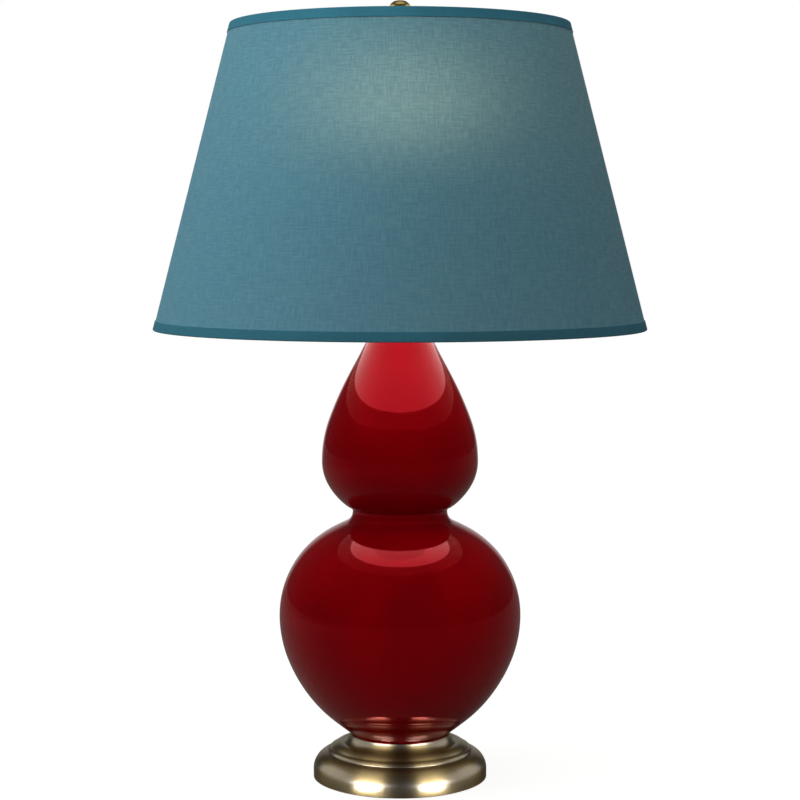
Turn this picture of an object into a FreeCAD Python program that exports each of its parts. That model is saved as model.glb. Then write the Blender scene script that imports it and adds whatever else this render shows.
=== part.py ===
import FreeCAD, Part
import math
import os

import Sketcher

# Double gourd table lamp, in millimetres. +Z is up, the origin is the centre of the felt under the
# foot, -Y is the front and +Y the rear, where the cord inlet is.

LENGTHS = {
    # brass foot: a spun shell over a cast weight
    "foot_radius": 86.5,
    "foot_lift": 1.0,
    "foot_wall": 1.6,
    "dome_spring": 9.0,
    "dome_top": 26.0,
    "groove_radius": 71.2,
    "bead_radius": 71.8,
    "bead_bottom": 26.9,
    "bead_top": 30.6,
    "step_radius": 67.2,
    "step_height": 31.1,
    "cove_radius": 56.0,
    "cove_height": 35.4,
    "collar_wall": 1.3,
    "collar_height": 44.0,
    "seat_height": 40.4,
    "felt_thickness": 2.0,
    "weight_thickness": 12.0,
    "weight_shoulder": 5.0,
    "weight_boss_radius": 18.0,
    "nut_recess_radius": 13.0,
    "nut_recess_depth": 9.5,
    "nut_across_flats": 14.0,
    "nut_thickness": 5.5,
    "washer_radius": 12.0,
    "washer_thickness": 1.5,
    "gasket_thickness": 1.6,
    "cord_bore": 3.6,
    "cord_height": 8.5,
    "grommet_wall": 1.4,
    "grommet_length": 8.0,
    "grommet_flange": 2.2,
    "grommet_flange_thickness": 1.6,
    "channel_width": 11.0,
    # threaded lamp pipe, which clamps the stack together
    "pipe_radius": 4.9,
    "pipe_bore": 3.3,
    "pipe_tail": 1.0,
    # glazed gourd: radii and heights of the stations that its outline passes through
    "glaze_wall": 5.0,
    "floor_thickness": 6.0,
    "gourd_foot_radius": 47.9,
    "gourd_foot_rise": 2.6,
    "flank_radius": 88.6,
    "flank_height": 81.0,
    "belly_radius": 119.9,
    "belly_height": 163.9,
    "shoulder_radius": 103.9,
    "shoulder_height": 217.7,
    "lower_slope_radius": 67.9,
    "lower_slope_height": 250.2,
    "waist_radius": 46.9,
    "waist_height": 267.8,
    "upper_slope_radius": 54.0,
    "upper_slope_height": 274.3,
    "upper_belly_radius": 77.4,
    "upper_belly_height": 318.1,
    "cone_radius": 52.4,
    "cone_height": 399.7,
    "cone_top_radius": 35.5,
    "cone_top_height": 431.6,
    "neck_radius": 24.5,
    "neck_bottom": 456.0,
    "neck_top": 462.0,
    # brass cap, neck and harp saddle above the gourd
    "neck_gasket_thickness": 1.5,
    "cap_radius": 27.5,
    "cap_skirt": 5.0,
    "cap_height": 7.5,
    "neck_tube_radius": 8.0,
    "neck_tube_length": 34.0,
    "neck_bead": 2.4,
    "saddle_thickness": 2.0,
    "saddle_width": 12.0,
    "saddle_rise": 9.0,
    # lamp holder
    "holder_cap_radius": 17.8,
    "holder_cap_height": 17.0,
    "holder_wall": 0.8,
    "holder_collar_radius": 8.2,
    "holder_collar_height": 7.0,
    "holder_shell_length": 62.0,
    "sleeve_wall": 0.7,
    "core_bottom": 10.0,
    "core_length": 22.0,
    "core_flat": 11.0,
    "screw_shell_wall": 0.7,
    "screw_shell_length": 26.0,
    "contact_radius": 3.5,
    "contact_thickness": 1.5,
    "terminal_radius": 2.6,
    "terminal_length": 2.5,
    "terminal_spacing": 11.0,
    "bushing_flange": 2.0,
    "bushing_bore": 2.2,
    "spindle_radius": 2.5,
    "spindle_depth": 7.0,
    "spindle_rise": 12.0,
    "knob_radius": 6.0,
    "knob_length": 15.0,
    "knob_stand_off": 5.0,
    "knob_grip": 7.0,
    # bulb with a screw cap
    "bulb_cap_radius": 13.1,
    "bulb_cap_length": 25.0,
    "bulb_tip_length": 1.7,
    "bulb_tip_radius": 4.5,
    "bulb_radius": 33.5,
    "bulb_length": 116.0,
    "bulb_glass_wall": 1.0,
    "pip_radius": 0.6,
    # harp that carries the shade
    "harp_foot": 26.0,
    "harp_wire": 1.7,
    "harp_straight": 32.0,
    "harp_flare": 66.0,
    "harp_half_width": 52.0,
    "harp_height": 219.0,
    "tongue_length": 14.0,
    "ferrule_wall": 1.1,
    "boss_width": 13.0,
    "boss_depth": 9.0,
    "boss_height": 8.0,
    "swivel_radius": 2.4,
    "swivel_head": 1.6,
    "swivel_head_thickness": 1.2,
    "rest_radius": 9.0,
    "rest_thickness": 2.0,
    "stud_radius": 3.15,
    "stud_length": 15.0,
    # empire shade
    "shade_bottom": 449.0,
    "shade_bottom_radius": 241.3,
    "shade_top_radius": 165.1,
    "shade_slant": 304.8,
    "cover_thickness": 1.0,
    "liner_thickness": 0.5,
    "trim_thickness": 0.6,
    "trim_width": 8.6,
    "ring_wire": 1.6,
    "seam_width": 12.0,
    "seam_thickness": 0.5,
    "hub_radius": 12.5,
    "hub_thickness": 2.0,
    "arm_wire": 1.5,
    # turned finial
    "finial_base_radius": 7.5,
    "finial_base_height": 2.2,
    "finial_neck_radius": 4.8,
    "finial_neck_height": 13.0,
    "finial_knob_radius": 9.9,
    "finial_knob_height": 25.0,
    "finial_shoulder_radius": 4.3,
    "finial_shoulder_height": 32.6,
    "finial_tip_radius": 3.5,
    "finial_height": 37.0,
    "finial_bore_depth": 15.0,
    # clearances
    "pipe_clearance": 0.3,
    "inside_gap": 0.3,
    "seat_gap": 0.3,
    "skin_gap": 0.1,
    "running_gap": 0.05,
}

ARMS = 3
REAR = 90.0
GOURD_STATIONS = (
    "flank", "belly", "shoulder", "lower_slope", "waist", "upper_slope", "upper_belly", "cone", "cone_top",
)
# Slopes of the outline at its stations, in degrees from straight up; it is upright at the others.
GOURD_SLOPES = {
    "foot": 53.5,
    "flank": 38.8,
    "shoulder": -33.1,
    "lower_slope": -61.8,
    "upper_slope": 52.0,
    "cone": -27.4,
    "cone_top": -26.6,
}

doc = FreeCAD.newDocument("DoubleGourdLamp")


class Size:
    """A number kept with the spreadsheet expression that gives it."""

    def __init__(self, value, text):
        self.value = float(value)
        self.text = text

    @staticmethod
    def of(other):
        return other if isinstance(other, Size) else Size(other, f"{other}")

    def join(self, sign, other, value):
        return Size(value, f"({self.text} {sign} {Size.of(other).text})")

    def __add__(self, other):
        return self.join("+", other, self.value + Size.of(other).value)

    def __sub__(self, other):
        return self.join("-", other, self.value - Size.of(other).value)

    def __mul__(self, other):
        return self.join("*", other, self.value * Size.of(other).value)

    def __truediv__(self, other):
        return self.join("/", other, self.value / Size.of(other).value)

    def __neg__(self):
        return Size(-self.value, f"(-1 * {self.text})")

    def __radd__(self, other):
        return Size.of(other) + self

    __rmul__ = __mul__


def root(size):
    return Size(math.sqrt(size.value), f"sqrt({size.text})")


def fill_sheet():
    """Write every driving length to the sheet and hand back its named sizes."""
    sheet = doc.addObject("Spreadsheet::Sheet", "Sizes")
    for row, (name, value) in enumerate(LENGTHS.items(), start=1):
        sheet.set(f"A{row}", name)
        sheet.set(f"B{row}", str(value))
        sheet.setAlias(f"B{row}", name)
    doc.recompute()
    return {name: Size(sheet.get(name), f"Sizes.{name}") for name in LENGTHS}


L = fill_sheet()


class Corner:
    """A corner of an outline, and how far the stretch to the next corner bows (share of its chord).

    Where upright is 1 or -1, that stretch is instead an arc that is upright at its wider end, and bows
    to the right or to the left.
    """

    def __init__(self, across, up, bow=0.0, upright=0):
        self.across = Size.of(across)
        self.up = Size.of(up)
        self.bow = bow
        self.upright = upright

    def point(self):
        return FreeCAD.Vector(self.across.value, self.up.value, 0)

    def chord_to(self, other):
        run = other.across - self.across
        rise = other.up - self.up
        return root(run * run + rise * rise)

    def bow_to(self, other):
        """Bow of the stretch to the next corner, as a plain number."""
        if not self.upright:
            return self.bow
        run = other.across.value - self.across.value
        rise = other.up.value - self.up.value
        return self.upright * math.tan(math.atan2(abs(run), abs(rise)) / 2) / 2

    def radius_to(self, other):
        """Radius of the stretch to the next corner."""
        chord = self.chord_to(other)
        if self.upright:
            return chord * chord / ((self.across - other.across) * (2 * self.upright))
        bow = abs(self.bow)
        return chord * ((1 + 4 * bow * bow) / (8 * bow))


def bowed_arc(start, end, bow):
    """The arc from start to end that bows to the right of its chord, or to the left where bow < 0."""
    chord = end - start
    middle = (start + end) * 0.5 + FreeCAD.Vector(chord.y, -chord.x, 0) * bow
    return Part.Arc(start, middle, end)


def new_sketch(body, name, role, height=None):
    sketch = body.newObject("Sketcher::SketchObject", name)
    plane = [item for item in body.Origin.OriginFeatures if item.Role == role][0]
    sketch.AttachmentSupport = [(plane, "")]
    sketch.MapMode = "FlatFace"
    if height is not None:
        sketch.setExpression("AttachmentOffset.Base.z", height.text)
    return sketch


def hold(sketch, kind, geometry, vertex, size, name):
    """Pin one coordinate of a vertex to a size."""
    axis = {"DistanceX": -2, "DistanceY": -1}[kind]
    if size.value == 0:
        sketch.addConstraint(Sketcher.Constraint("PointOnObject", geometry, vertex, axis))
        return
    ends = (-1, 1, geometry, vertex) if size.value > 0 else (geometry, vertex, -1, 1)
    shown = size if size.value > 0 else -size
    sketch.addConstraint(Sketcher.Constraint(kind, *ends, shown.value))
    sketch.renameConstraint(sketch.ConstraintCount - 1, name)
    sketch.setExpression(f"Constraints.{name}", shown.text)


def draw(sketch, corners, closed=True):
    """Draw straight and bowed stretches from corner to corner, each bound to its sizes."""
    ends = corners[1:] + corners[:1] if closed else corners[1:]
    first = sketch.GeometryCount
    vertices = []
    for corner, following in zip(corners, ends):
        start, end = corner.point(), following.point()
        bow = corner.bow_to(following)
        edge = bowed_arc(start, end, bow) if bow else Part.LineSegment(start, end)
        index = sketch.addGeometry(edge)
        forward = (sketch.getPoint(index, 1) - start).Length < (sketch.getPoint(index, 2) - start).Length
        vertices.append((1, 2) if forward else (2, 1))
    count = len(vertices)
    for step in range(count if closed else count - 1):
        after = (step + 1) % count
        sketch.addConstraint(Sketcher.Constraint(
            "Coincident", first + step, vertices[step][1], first + after, vertices[after][0]))
    for step, corner in enumerate(corners):
        held, end = (step, 0) if step < count else (count - 1, 1)
        hold(sketch, "DistanceX", first + held, vertices[held][end], corner.across, f"x{first + step}")
        hold(sketch, "DistanceY", first + held, vertices[held][end], corner.up, f"y{first + step}")
    for step in range(count):
        if corners[step].bow or corners[step].upright:
            radius = corners[step].radius_to(ends[step])
            sketch.addConstraint(Sketcher.Constraint("Radius", first + step, radius.value))
            name = f"curve{first + step}"
            sketch.renameConstraint(sketch.ConstraintCount - 1, name)
            sketch.setExpression(f"Constraints.{name}", radius.text)


def draw_circle(sketch, across, up, radius):
    centre = FreeCAD.Vector(Size.of(across).value, Size.of(up).value, 0)
    index = sketch.addGeometry(Part.Circle(centre, FreeCAD.Vector(0, 0, 1), radius.value))
    hold(sketch, "DistanceX", index, 3, Size.of(across), f"x{index}")
    hold(sketch, "DistanceY", index, 3, Size.of(up), f"y{index}")
    sketch.addConstraint(Sketcher.Constraint("Radius", index, radius.value))
    sketch.renameConstraint(sketch.ConstraintCount - 1, f"radius{index}")
    sketch.setExpression(f"Constraints.radius{index}", radius.text)


def new_body(label):
    body = doc.addObject("PartDesign::Body", label)
    body.Label = label
    return body


def turned(label, corners):
    """A piece spun about the lamp's axis from its half outline."""
    body = new_body(label)
    sketch = new_sketch(body, f"{label}_outline", "XZ_Plane")
    draw(sketch, corners)
    spin = body.newObject("PartDesign::Revolution", f"{label}_spin")
    spin.Profile = sketch
    spin.ReferenceAxis = (sketch, ["V_Axis"])
    spin.Angle = 360
    sketch.Visibility = False
    doc.recompute()
    return body


def extrude(body, kind, sketch, length, reverse=False, centred=False):
    """Pad or pocket a sketch by a length, on one side of it or half on each."""
    feature = body.newObject(f"PartDesign::{kind}", f"{sketch.Name}_{kind.lower()}")
    feature.Profile = sketch
    feature.setExpression("Length", length.text)
    feature.Reversed = reverse
    feature.Midplane = centred
    doc.recompute()
    return feature


def pocket(body, sketch, length, reverse=False, centred=False):
    """Cut a pocket and make sure that it took something away."""
    before = body.Shape.Volume
    feature = extrude(body, "Pocket", sketch, length, reverse, centred)
    if body.Shape.Volume >= before:
        raise RuntimeError(f"{feature.Name} cuts nothing")


def wire_loop(label, radius, wire, height):
    ring = doc.addObject("Part::Torus", label)
    ring.Label = label
    ring.setExpression("Radius1", radius.text)
    ring.setExpression("Radius2", wire.text)
    ring.setExpression("Placement.Base.z", height.text)
    return ring


# ---------------------------------------------------------------- places along the axis

seat_underside = L["seat_height"] - L["foot_wall"]
weight_bottom = L["felt_thickness"]
weight_top = weight_bottom + L["weight_thickness"]
recess_top = weight_bottom + L["nut_recess_depth"]
nut_top = recess_top - L["washer_thickness"]
nut_bottom = nut_top - L["nut_thickness"]
pipe_bottom = nut_bottom - L["pipe_tail"]
gourd_bottom = L["seat_height"] + L["gasket_thickness"]
cap_bottom = L["neck_top"] + L["neck_gasket_thickness"]
cap_top = cap_bottom + L["cap_height"]
saddle_bottom = cap_top + L["neck_tube_length"]
saddle_top = saddle_bottom + L["saddle_thickness"]
holder_floor = saddle_top + L["holder_wall"]
pipe_top = holder_floor + L["holder_collar_height"] - L["bushing_flange"]
core_bottom = saddle_top + L["core_bottom"]
core_top = core_bottom + L["core_length"]
spindle_height = core_bottom + L["spindle_rise"]
contact_top = core_top + L["contact_thickness"]
bulb_bottom = contact_top + L["seat_gap"]
bulb_cap_bottom = bulb_bottom + L["bulb_tip_length"]
bulb_cap_top = bulb_cap_bottom + L["bulb_cap_length"]
tongue_bottom = saddle_bottom + L["saddle_rise"] + L["saddle_thickness"]
tongue_top = tongue_bottom + L["tongue_length"]
harp_top = saddle_top + L["harp_height"]
boss_bottom = harp_top - L["boss_height"] / 2
boss_top = harp_top + L["boss_height"] / 2
rest_bottom = boss_top + L["seat_gap"]
rest_top = rest_bottom + L["rest_thickness"]
hub_bottom = rest_top + L["seat_gap"]
hub_top = hub_bottom + L["hub_thickness"]
stud_top = rest_top + L["stud_length"]
finial_bottom = hub_top + L["seat_gap"]

# ---------------------------------------------------------------- radii that follow from others

pipe_hole = L["pipe_radius"] + L["pipe_clearance"]
foot_inside = L["foot_radius"] - L["foot_wall"]
weight_radius = foot_inside - L["inside_gap"]
collar_inside = L["gourd_foot_radius"] + L["inside_gap"]
collar_radius = collar_inside + L["collar_wall"]
holder_shell_radius = L["holder_cap_radius"] - L["holder_wall"] - L["inside_gap"]
sleeve_radius = holder_shell_radius - L["holder_wall"] - L["inside_gap"]
core_radius = sleeve_radius - L["sleeve_wall"] - L["inside_gap"]
spindle_hole = L["spindle_radius"] + L["inside_gap"]

# ---------------------------------------------------------------- shade cone

shade_drop = L["shade_bottom_radius"] - L["shade_top_radius"]
shade_height = root(L["shade_slant"] * L["shade_slant"] - shade_drop * shade_drop)
shade_top = L["shade_bottom"] + shade_height
shade_lean = shade_drop / shade_height


def shade_radius(height):
    """Outer radius of the shade's cover at a height."""
    return L["shade_bottom_radius"] - (height - L["shade_bottom"]) * shade_lean


def cone_band(label, low, high, outward, thickness):
    """A conical band of the shade; outward is how far its outer face is from the cover's."""
    return turned(label, [
        Corner(shade_radius(low) + outward - thickness, low),
        Corner(shade_radius(low) + outward, low),
        Corner(shade_radius(high) + outward, high),
        Corner(shade_radius(high) + outward - thickness, high),
    ])


# ---------------------------------------------------------------- foot


def felt_pad():
    turned("felt_pad", [
        Corner(0, 0),
        Corner(weight_radius, 0),
        Corner(weight_radius, L["felt_thickness"]),
        Corner(0, L["felt_thickness"]),
    ])


def base_shell():
    """Spun brass foot: dome, bead, step and cove, up to the collar that holds the gourd."""
    wall = L["foot_wall"]
    body = turned("base_shell", [
        Corner(L["foot_radius"], L["foot_lift"]),
        Corner(L["foot_radius"], L["dome_spring"], upright=1),
        Corner(L["groove_radius"] + 1.2, L["dome_top"]),
        Corner(L["groove_radius"], L["dome_top"] + 0.3),
        Corner(L["bead_radius"], L["bead_bottom"], 0.17),
        Corner(L["step_radius"] + 0.6, L["bead_top"]),
        Corner(L["step_radius"], L["step_height"], 0.12),
        Corner(L["cove_radius"], L["cove_height"], -0.13),
        Corner(collar_radius, L["collar_height"]),
        Corner(collar_inside, L["collar_height"]),
        Corner(collar_inside, L["seat_height"]),
        Corner(pipe_hole, L["seat_height"]),
        Corner(pipe_hole, seat_underside),
        Corner(collar_inside, seat_underside),
        Corner(L["cove_radius"] - wall, L["cove_height"] - wall, -0.08),
        Corner(L["step_radius"] - wall, L["step_height"] - wall),
        Corner(L["groove_radius"] - wall, L["dome_top"] - wall, upright=-1),
        Corner(foot_inside, L["dome_spring"]),
        Corner(foot_inside, L["foot_lift"]),
    ])
    inlet = new_sketch(body, "base_shell_inlet", "XZ_Plane")
    draw_circle(inlet, 0, L["cord_height"], L["cord_bore"] + L["grommet_wall"])
    pocket(body, inlet, L["foot_radius"] * 1.2)


def base_weight():
    """Cast weight with a boss up to the seat, a recess for the nut and a channel for the cord."""
    body = turned("base_weight", [
        Corner(L["nut_recess_radius"], weight_bottom),
        Corner(weight_radius, weight_bottom),
        Corner(weight_radius, weight_top - L["weight_shoulder"]),
        Corner(weight_radius - L["weight_shoulder"] * 0.6, weight_top),
        Corner(L["weight_boss_radius"] + 6, weight_top, -0.15),
        Corner(L["weight_boss_radius"], weight_top + 6),
        Corner(L["weight_boss_radius"], seat_underside),
        Corner(pipe_hole, seat_underside),
        Corner(pipe_hole, recess_top),
        Corner(L["nut_recess_radius"], recess_top),
    ])
    half = L["channel_width"] / 2
    channel = new_sketch(body, "base_weight_channel", "XY_Plane", weight_bottom)
    near, far = L["nut_recess_radius"] * 0.8, L["foot_radius"]
    draw(channel, [Corner(-half, near), Corner(half, near), Corner(half, far), Corner(-half, far)])
    pocket(body, channel, L["weight_thickness"], reverse=True)


def cord_grommet():
    """Plastic bushing in the rear of the foot. It is turned upright and laid down towards the rear."""
    barrel = L["cord_bore"] + L["grommet_wall"] - L["running_gap"]
    flange_at = L["foot_radius"] + L["skin_gap"]
    inner_end = flange_at - L["grommet_length"]
    outer_end = flange_at + L["grommet_flange_thickness"]
    body = turned("cord_grommet", [
        Corner(L["cord_bore"], inner_end),
        Corner(barrel, inner_end),
        Corner(barrel, flange_at),
        Corner(barrel + L["grommet_flange"], flange_at),
        Corner(barrel + L["grommet_flange"], outer_end),
        Corner(L["cord_bore"], outer_end),
    ])
    body.Placement.Rotation = FreeCAD.Rotation(FreeCAD.Vector(1, 0, 0), -REAR)
    body.setExpression("Placement.Base.z", L["cord_height"].text)


def clamp_stack():
    """The threaded pipe through the whole lamp, with the washer and nut under the weight."""
    turned("lamp_pipe", [
        Corner(L["pipe_bore"], pipe_bottom),
        Corner(L["pipe_radius"], pipe_bottom),
        Corner(L["pipe_radius"], pipe_top),
        Corner(L["pipe_bore"], pipe_top),
    ])
    turned("bottom_washer", [
        Corner(pipe_hole, nut_top),
        Corner(L["washer_radius"], nut_top),
        Corner(L["washer_radius"], recess_top),
        Corner(pipe_hole, recess_top),
    ])
    nut = new_body("bottom_nut")
    hexagon = new_sketch(nut, "bottom_nut_hexagon", "XY_Plane", nut_bottom)
    corner_radius = L["nut_across_flats"] / (2 * math.cos(math.pi / 6))
    draw(hexagon, [
        Corner(corner_radius * round(math.cos(math.radians(60 * step)), 12),
               corner_radius * round(math.sin(math.radians(60 * step)), 12))
        for step in range(6)
    ])
    extrude(nut, "Pad", hexagon, L["nut_thickness"])
    bore = new_sketch(nut, "bottom_nut_bore", "XY_Plane", nut_bottom)
    draw_circle(bore, 0, 0, L["pipe_radius"] + L["running_gap"])
    pocket(nut, bore, L["nut_thickness"], reverse=True)
    turned("base_gasket", [
        Corner(pipe_hole, L["seat_height"]),
        Corner(L["gourd_foot_radius"], L["seat_height"]),
        Corner(L["gourd_foot_radius"], gourd_bottom),
        Corner(pipe_hole, gourd_bottom),
    ])


# ---------------------------------------------------------------- gourd


def biarc(start, start_slope, end, end_slope):
    """Two arcs that leave start and reach end at the given slopes, in degrees from straight up."""
    leave = FreeCAD.Vector(math.sin(math.radians(start_slope)), math.cos(math.radians(start_slope)), 0)
    reach = FreeCAD.Vector(math.sin(math.radians(end_slope)), math.cos(math.radians(end_slope)), 0)
    span = end - start
    square = 2 * (leave.dot(reach) - 1)
    linear = -2 * span.dot(leave + reach)
    constant = span.dot(span)
    if abs(square) < 1e-9:
        reachable = -constant / linear
    else:
        reachable = (-linear - math.sqrt(linear * linear - 4 * square * constant)) / (2 * square)
    joint = (start + end + (leave - reach) * reachable) * 0.5
    return [tangent_arc(start, leave, joint), tangent_arc(end, -reach, joint)]


def tangent_arc(start, direction, end):
    """The arc from start, along direction, to end."""
    chord = end - start
    along = FreeCAD.Vector(chord).normalize()
    aside = direction - along * direction.dot(along)
    angle = math.atan2(aside.Length, direction.dot(along))
    if aside.Length < 1e-9:
        return Part.LineSegment(start, end)
    middle = (start + end) * 0.5 + aside.normalize() * (chord.Length / 2 * math.tan(angle / 2))
    return Part.Arc(start, middle, end)


def gourd_stations(inset):
    """Stations of the gourd's outline, moved square to it into the wall by inset."""
    foot_height = gourd_bottom + L["gourd_foot_rise"]
    stations = [(L["gourd_foot_radius"].value, foot_height.value, GOURD_SLOPES["foot"])]
    for name in GOURD_STATIONS:
        slope = GOURD_SLOPES.get(name, 0.0)
        stations.append((L[f"{name}_radius"].value, L[f"{name}_height"].value, slope))
    stations.append((L["neck_radius"].value, L["neck_bottom"].value, 0.0))
    moved = []
    for radius, height, slope in stations:
        angle = math.radians(slope)
        point = FreeCAD.Vector(radius - inset * math.cos(angle), height + inset * math.sin(angle), 0)
        moved.append((point, slope))
    return moved


def gourd_curve(stations):
    arcs = []
    for (start, start_slope), (end, end_slope) in zip(stations, stations[1:]):
        arcs += biarc(start, start_slope, end, end_slope)
    return [arc.toShape() for arc in arcs]


def ceramic_body():
    """Slip-cast double gourd: tangent arcs outside and, one wall further in, inside."""
    outside = gourd_stations(0.0)
    inside = gourd_stations(L["glaze_wall"].value)
    bottom = gourd_bottom.value
    floor = bottom + L["floor_thickness"].value
    top = L["neck_top"].value
    hole = pipe_hole.value
    up_the_neck = [outside[-1][0], FreeCAD.Vector(outside[-1][0].x, top, 0)]
    down_the_neck = [FreeCAD.Vector(inside[-1][0].x, top, 0), inside[-1][0]]
    floor_edge = FreeCAD.Vector(inside[0][0].x - (inside[0][0].y - floor) * 0.8, floor, 0)
    under = [inside[0][0], floor_edge, FreeCAD.Vector(hole, floor, 0), FreeCAD.Vector(hole, bottom, 0),
             FreeCAD.Vector(outside[0][0].x, bottom, 0), outside[0][0]]
    straight = up_the_neck + down_the_neck
    edges = gourd_curve(outside) + gourd_curve(inside)
    edges += [Part.LineSegment(a, b).toShape() for a, b in zip(straight, straight[1:])]
    edges += [Part.LineSegment(a, b).toShape() for a, b in zip(under, under[1:])]
    wire = Part.Wire(Part.__sortEdges__(edges))
    face = Part.Face(wire)
    face.rotate(FreeCAD.Vector(0, 0, 0), FreeCAD.Vector(1, 0, 0), 90)
    body = doc.addObject("Part::Feature", "ceramic_body")
    body.Label = "ceramic_body"
    body.Shape = face.revolve(FreeCAD.Vector(0, 0, 0), FreeCAD.Vector(0, 0, 1), 360)


# ---------------------------------------------------------------- cap, neck and saddle


def vase_cap():
    """Brass cap over the gourd's neck, with the gasket under it and the neck tube on it."""
    turned("neck_gasket", [
        Corner(pipe_hole, L["neck_top"]),
        Corner(L["neck_radius"] - L["inside_gap"], L["neck_top"]),
        Corner(L["neck_radius"] - L["inside_gap"], cap_bottom),
        Corner(pipe_hole, cap_bottom),
    ])
    skirt_inside = L["neck_radius"] + L["inside_gap"]
    skirt_bottom = L["neck_top"] - L["cap_skirt"]
    land = L["neck_tube_radius"] + 2
    turned("vase_cap", [
        Corner(pipe_hole, cap_bottom),
        Corner(skirt_inside, cap_bottom),
        Corner(skirt_inside, skirt_bottom),
        Corner(L["cap_radius"], skirt_bottom),
        Corner(L["cap_radius"], cap_bottom, 0.2),
        Corner(land, cap_top),
        Corner(pipe_hole, cap_top),
    ])
    middle = cap_top + L["neck_tube_length"] / 2
    turned("neck_tube", [
        Corner(pipe_hole, cap_top),
        Corner(L["neck_tube_radius"], cap_top),
        Corner(L["neck_tube_radius"], middle - L["neck_bead"], 0.4),
        Corner(L["neck_tube_radius"], middle + L["neck_bead"]),
        Corner(L["neck_tube_radius"], saddle_bottom),
        Corner(pipe_hole, saddle_bottom),
    ])


def harp_saddle():
    """Steel strap under the lamp holder, whose two upright tongues hold the harp."""
    body = new_body("harp_saddle")
    inner_face = L["harp_foot"] - L["running_gap"]
    outer_face = inner_face - L["harp_wire"] + L["running_gap"]
    knee = L["holder_cap_radius"] + 2.5
    rim = saddle_bottom + L["saddle_rise"]
    strap = new_sketch(body, "harp_saddle_strap", "XZ_Plane")
    right = [
        Corner(knee, saddle_bottom),
        Corner(L["harp_foot"] + L["harp_wire"] + L["ferrule_wall"], rim),
        Corner(L["harp_foot"] + L["harp_wire"] + L["ferrule_wall"], tongue_bottom),
        Corner(outer_face, tongue_bottom),
        Corner(outer_face, rim + L["saddle_thickness"] / 2),
        Corner(knee - 1, saddle_top),
    ]
    left = [Corner(-corner.across, corner.up) for corner in reversed(right)]
    draw(strap, right + left)
    extrude(body, "Pad", strap, L["saddle_width"], centred=True)
    hole = new_sketch(body, "harp_saddle_hole", "XY_Plane", saddle_bottom)
    draw_circle(hole, 0, 0, pipe_hole)
    pocket(body, hole, L["saddle_thickness"], reverse=True)
    tongues = new_sketch(body, "harp_saddle_tongues", "XZ_Plane")
    overlap = tongue_bottom - L["saddle_thickness"] / 2
    for side in (1, -1):
        draw(tongues, [
            Corner(outer_face * side, overlap),
            Corner(inner_face * side, overlap),
            Corner(inner_face * side, tongue_top),
            Corner(outer_face * side, tongue_top),
        ])
    extrude(body, "Pad", tongues, L["harp_wire"] * 2, centred=True)


# ---------------------------------------------------------------- lamp holder


def holder_cap():
    """Cup that is screwed to the top of the pipe, with the bushing that guards the wires."""
    cup_top = saddle_top + L["holder_cap_height"]
    inside = L["holder_cap_radius"] - L["holder_wall"]
    turned("holder_cap", [
        Corner(L["pipe_radius"] + L["running_gap"], saddle_top),
        Corner(L["holder_cap_radius"] - 4, saddle_top, 0.2),
        Corner(L["holder_cap_radius"], saddle_top + 4),
        Corner(L["holder_cap_radius"], cup_top),
        Corner(inside, cup_top),
        Corner(inside, saddle_top + 4, -0.15),
        Corner(inside - 3.5, holder_floor),
        Corner(L["holder_collar_radius"], holder_floor),
        Corner(L["holder_collar_radius"], holder_floor + L["holder_collar_height"]),
        Corner(L["pipe_radius"] + L["running_gap"], holder_floor + L["holder_collar_height"]),
    ])
    flange = L["pipe_radius"]
    spigot = L["pipe_bore"] - L["running_gap"]
    turned("pipe_bushing", [
        Corner(L["bushing_bore"], pipe_top - L["bushing_flange"]),
        Corner(spigot, pipe_top - L["bushing_flange"]),
        Corner(spigot, pipe_top),
        Corner(flange, pipe_top),
        Corner(flange, pipe_top + L["bushing_flange"]),
        Corner(L["bushing_bore"], pipe_top + L["bushing_flange"]),
    ])


def side_hole(body, name):
    """Cut the hole for the switch spindle through the front wall."""
    sketch = new_sketch(body, f"{name}_spindle_hole", "XZ_Plane")
    draw_circle(sketch, 0, spindle_height, spindle_hole)
    pocket(body, sketch, L["holder_cap_radius"] * 1.2, reverse=True)


def holder_shell():
    """Brass shell of the lamp holder and the card sleeve that lines it."""
    bottom = saddle_top + 4
    top = bottom + L["holder_shell_length"]
    shell = turned("holder_shell", [
        Corner(holder_shell_radius - L["holder_wall"], bottom),
        Corner(holder_shell_radius, bottom),
        Corner(holder_shell_radius, top),
        Corner(holder_shell_radius - L["holder_wall"], top),
    ])
    side_hole(shell, "holder_shell")
    sleeve = turned("holder_sleeve", [
        Corner(sleeve_radius - L["sleeve_wall"], bottom + 1),
        Corner(sleeve_radius, bottom + 1),
        Corner(sleeve_radius, top - 1),
        Corner(sleeve_radius - L["sleeve_wall"], top - 1),
    ])
    side_hole(sleeve, "holder_sleeve")


def holder_core():
    """Moulded core with two flats for the terminals and a bore for the switch spindle."""
    core = turned("holder_core", [
        Corner(0, core_bottom),
        Corner(core_radius, core_bottom),
        Corner(core_radius, core_top),
        Corner(0, core_top),
    ])
    flats = new_sketch(core, "holder_core_flats", "XY_Plane", core_bottom)
    for side in (1, -1):
        draw(flats, [
            Corner(L["core_flat"] * side, -core_radius),
            Corner(core_radius * side, -core_radius),
            Corner(core_radius * side, core_radius),
            Corner(L["core_flat"] * side, core_radius),
        ])
    pocket(core, flats, L["core_length"] - L["contact_thickness"], reverse=True)
    bore = new_sketch(core, "holder_core_bore", "XZ_Plane", core_radius - L["spindle_depth"])
    draw_circle(bore, 0, spindle_height, L["spindle_radius"] + L["running_gap"])
    pocket(core, bore, L["spindle_depth"] + 1, reverse=True)


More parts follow.
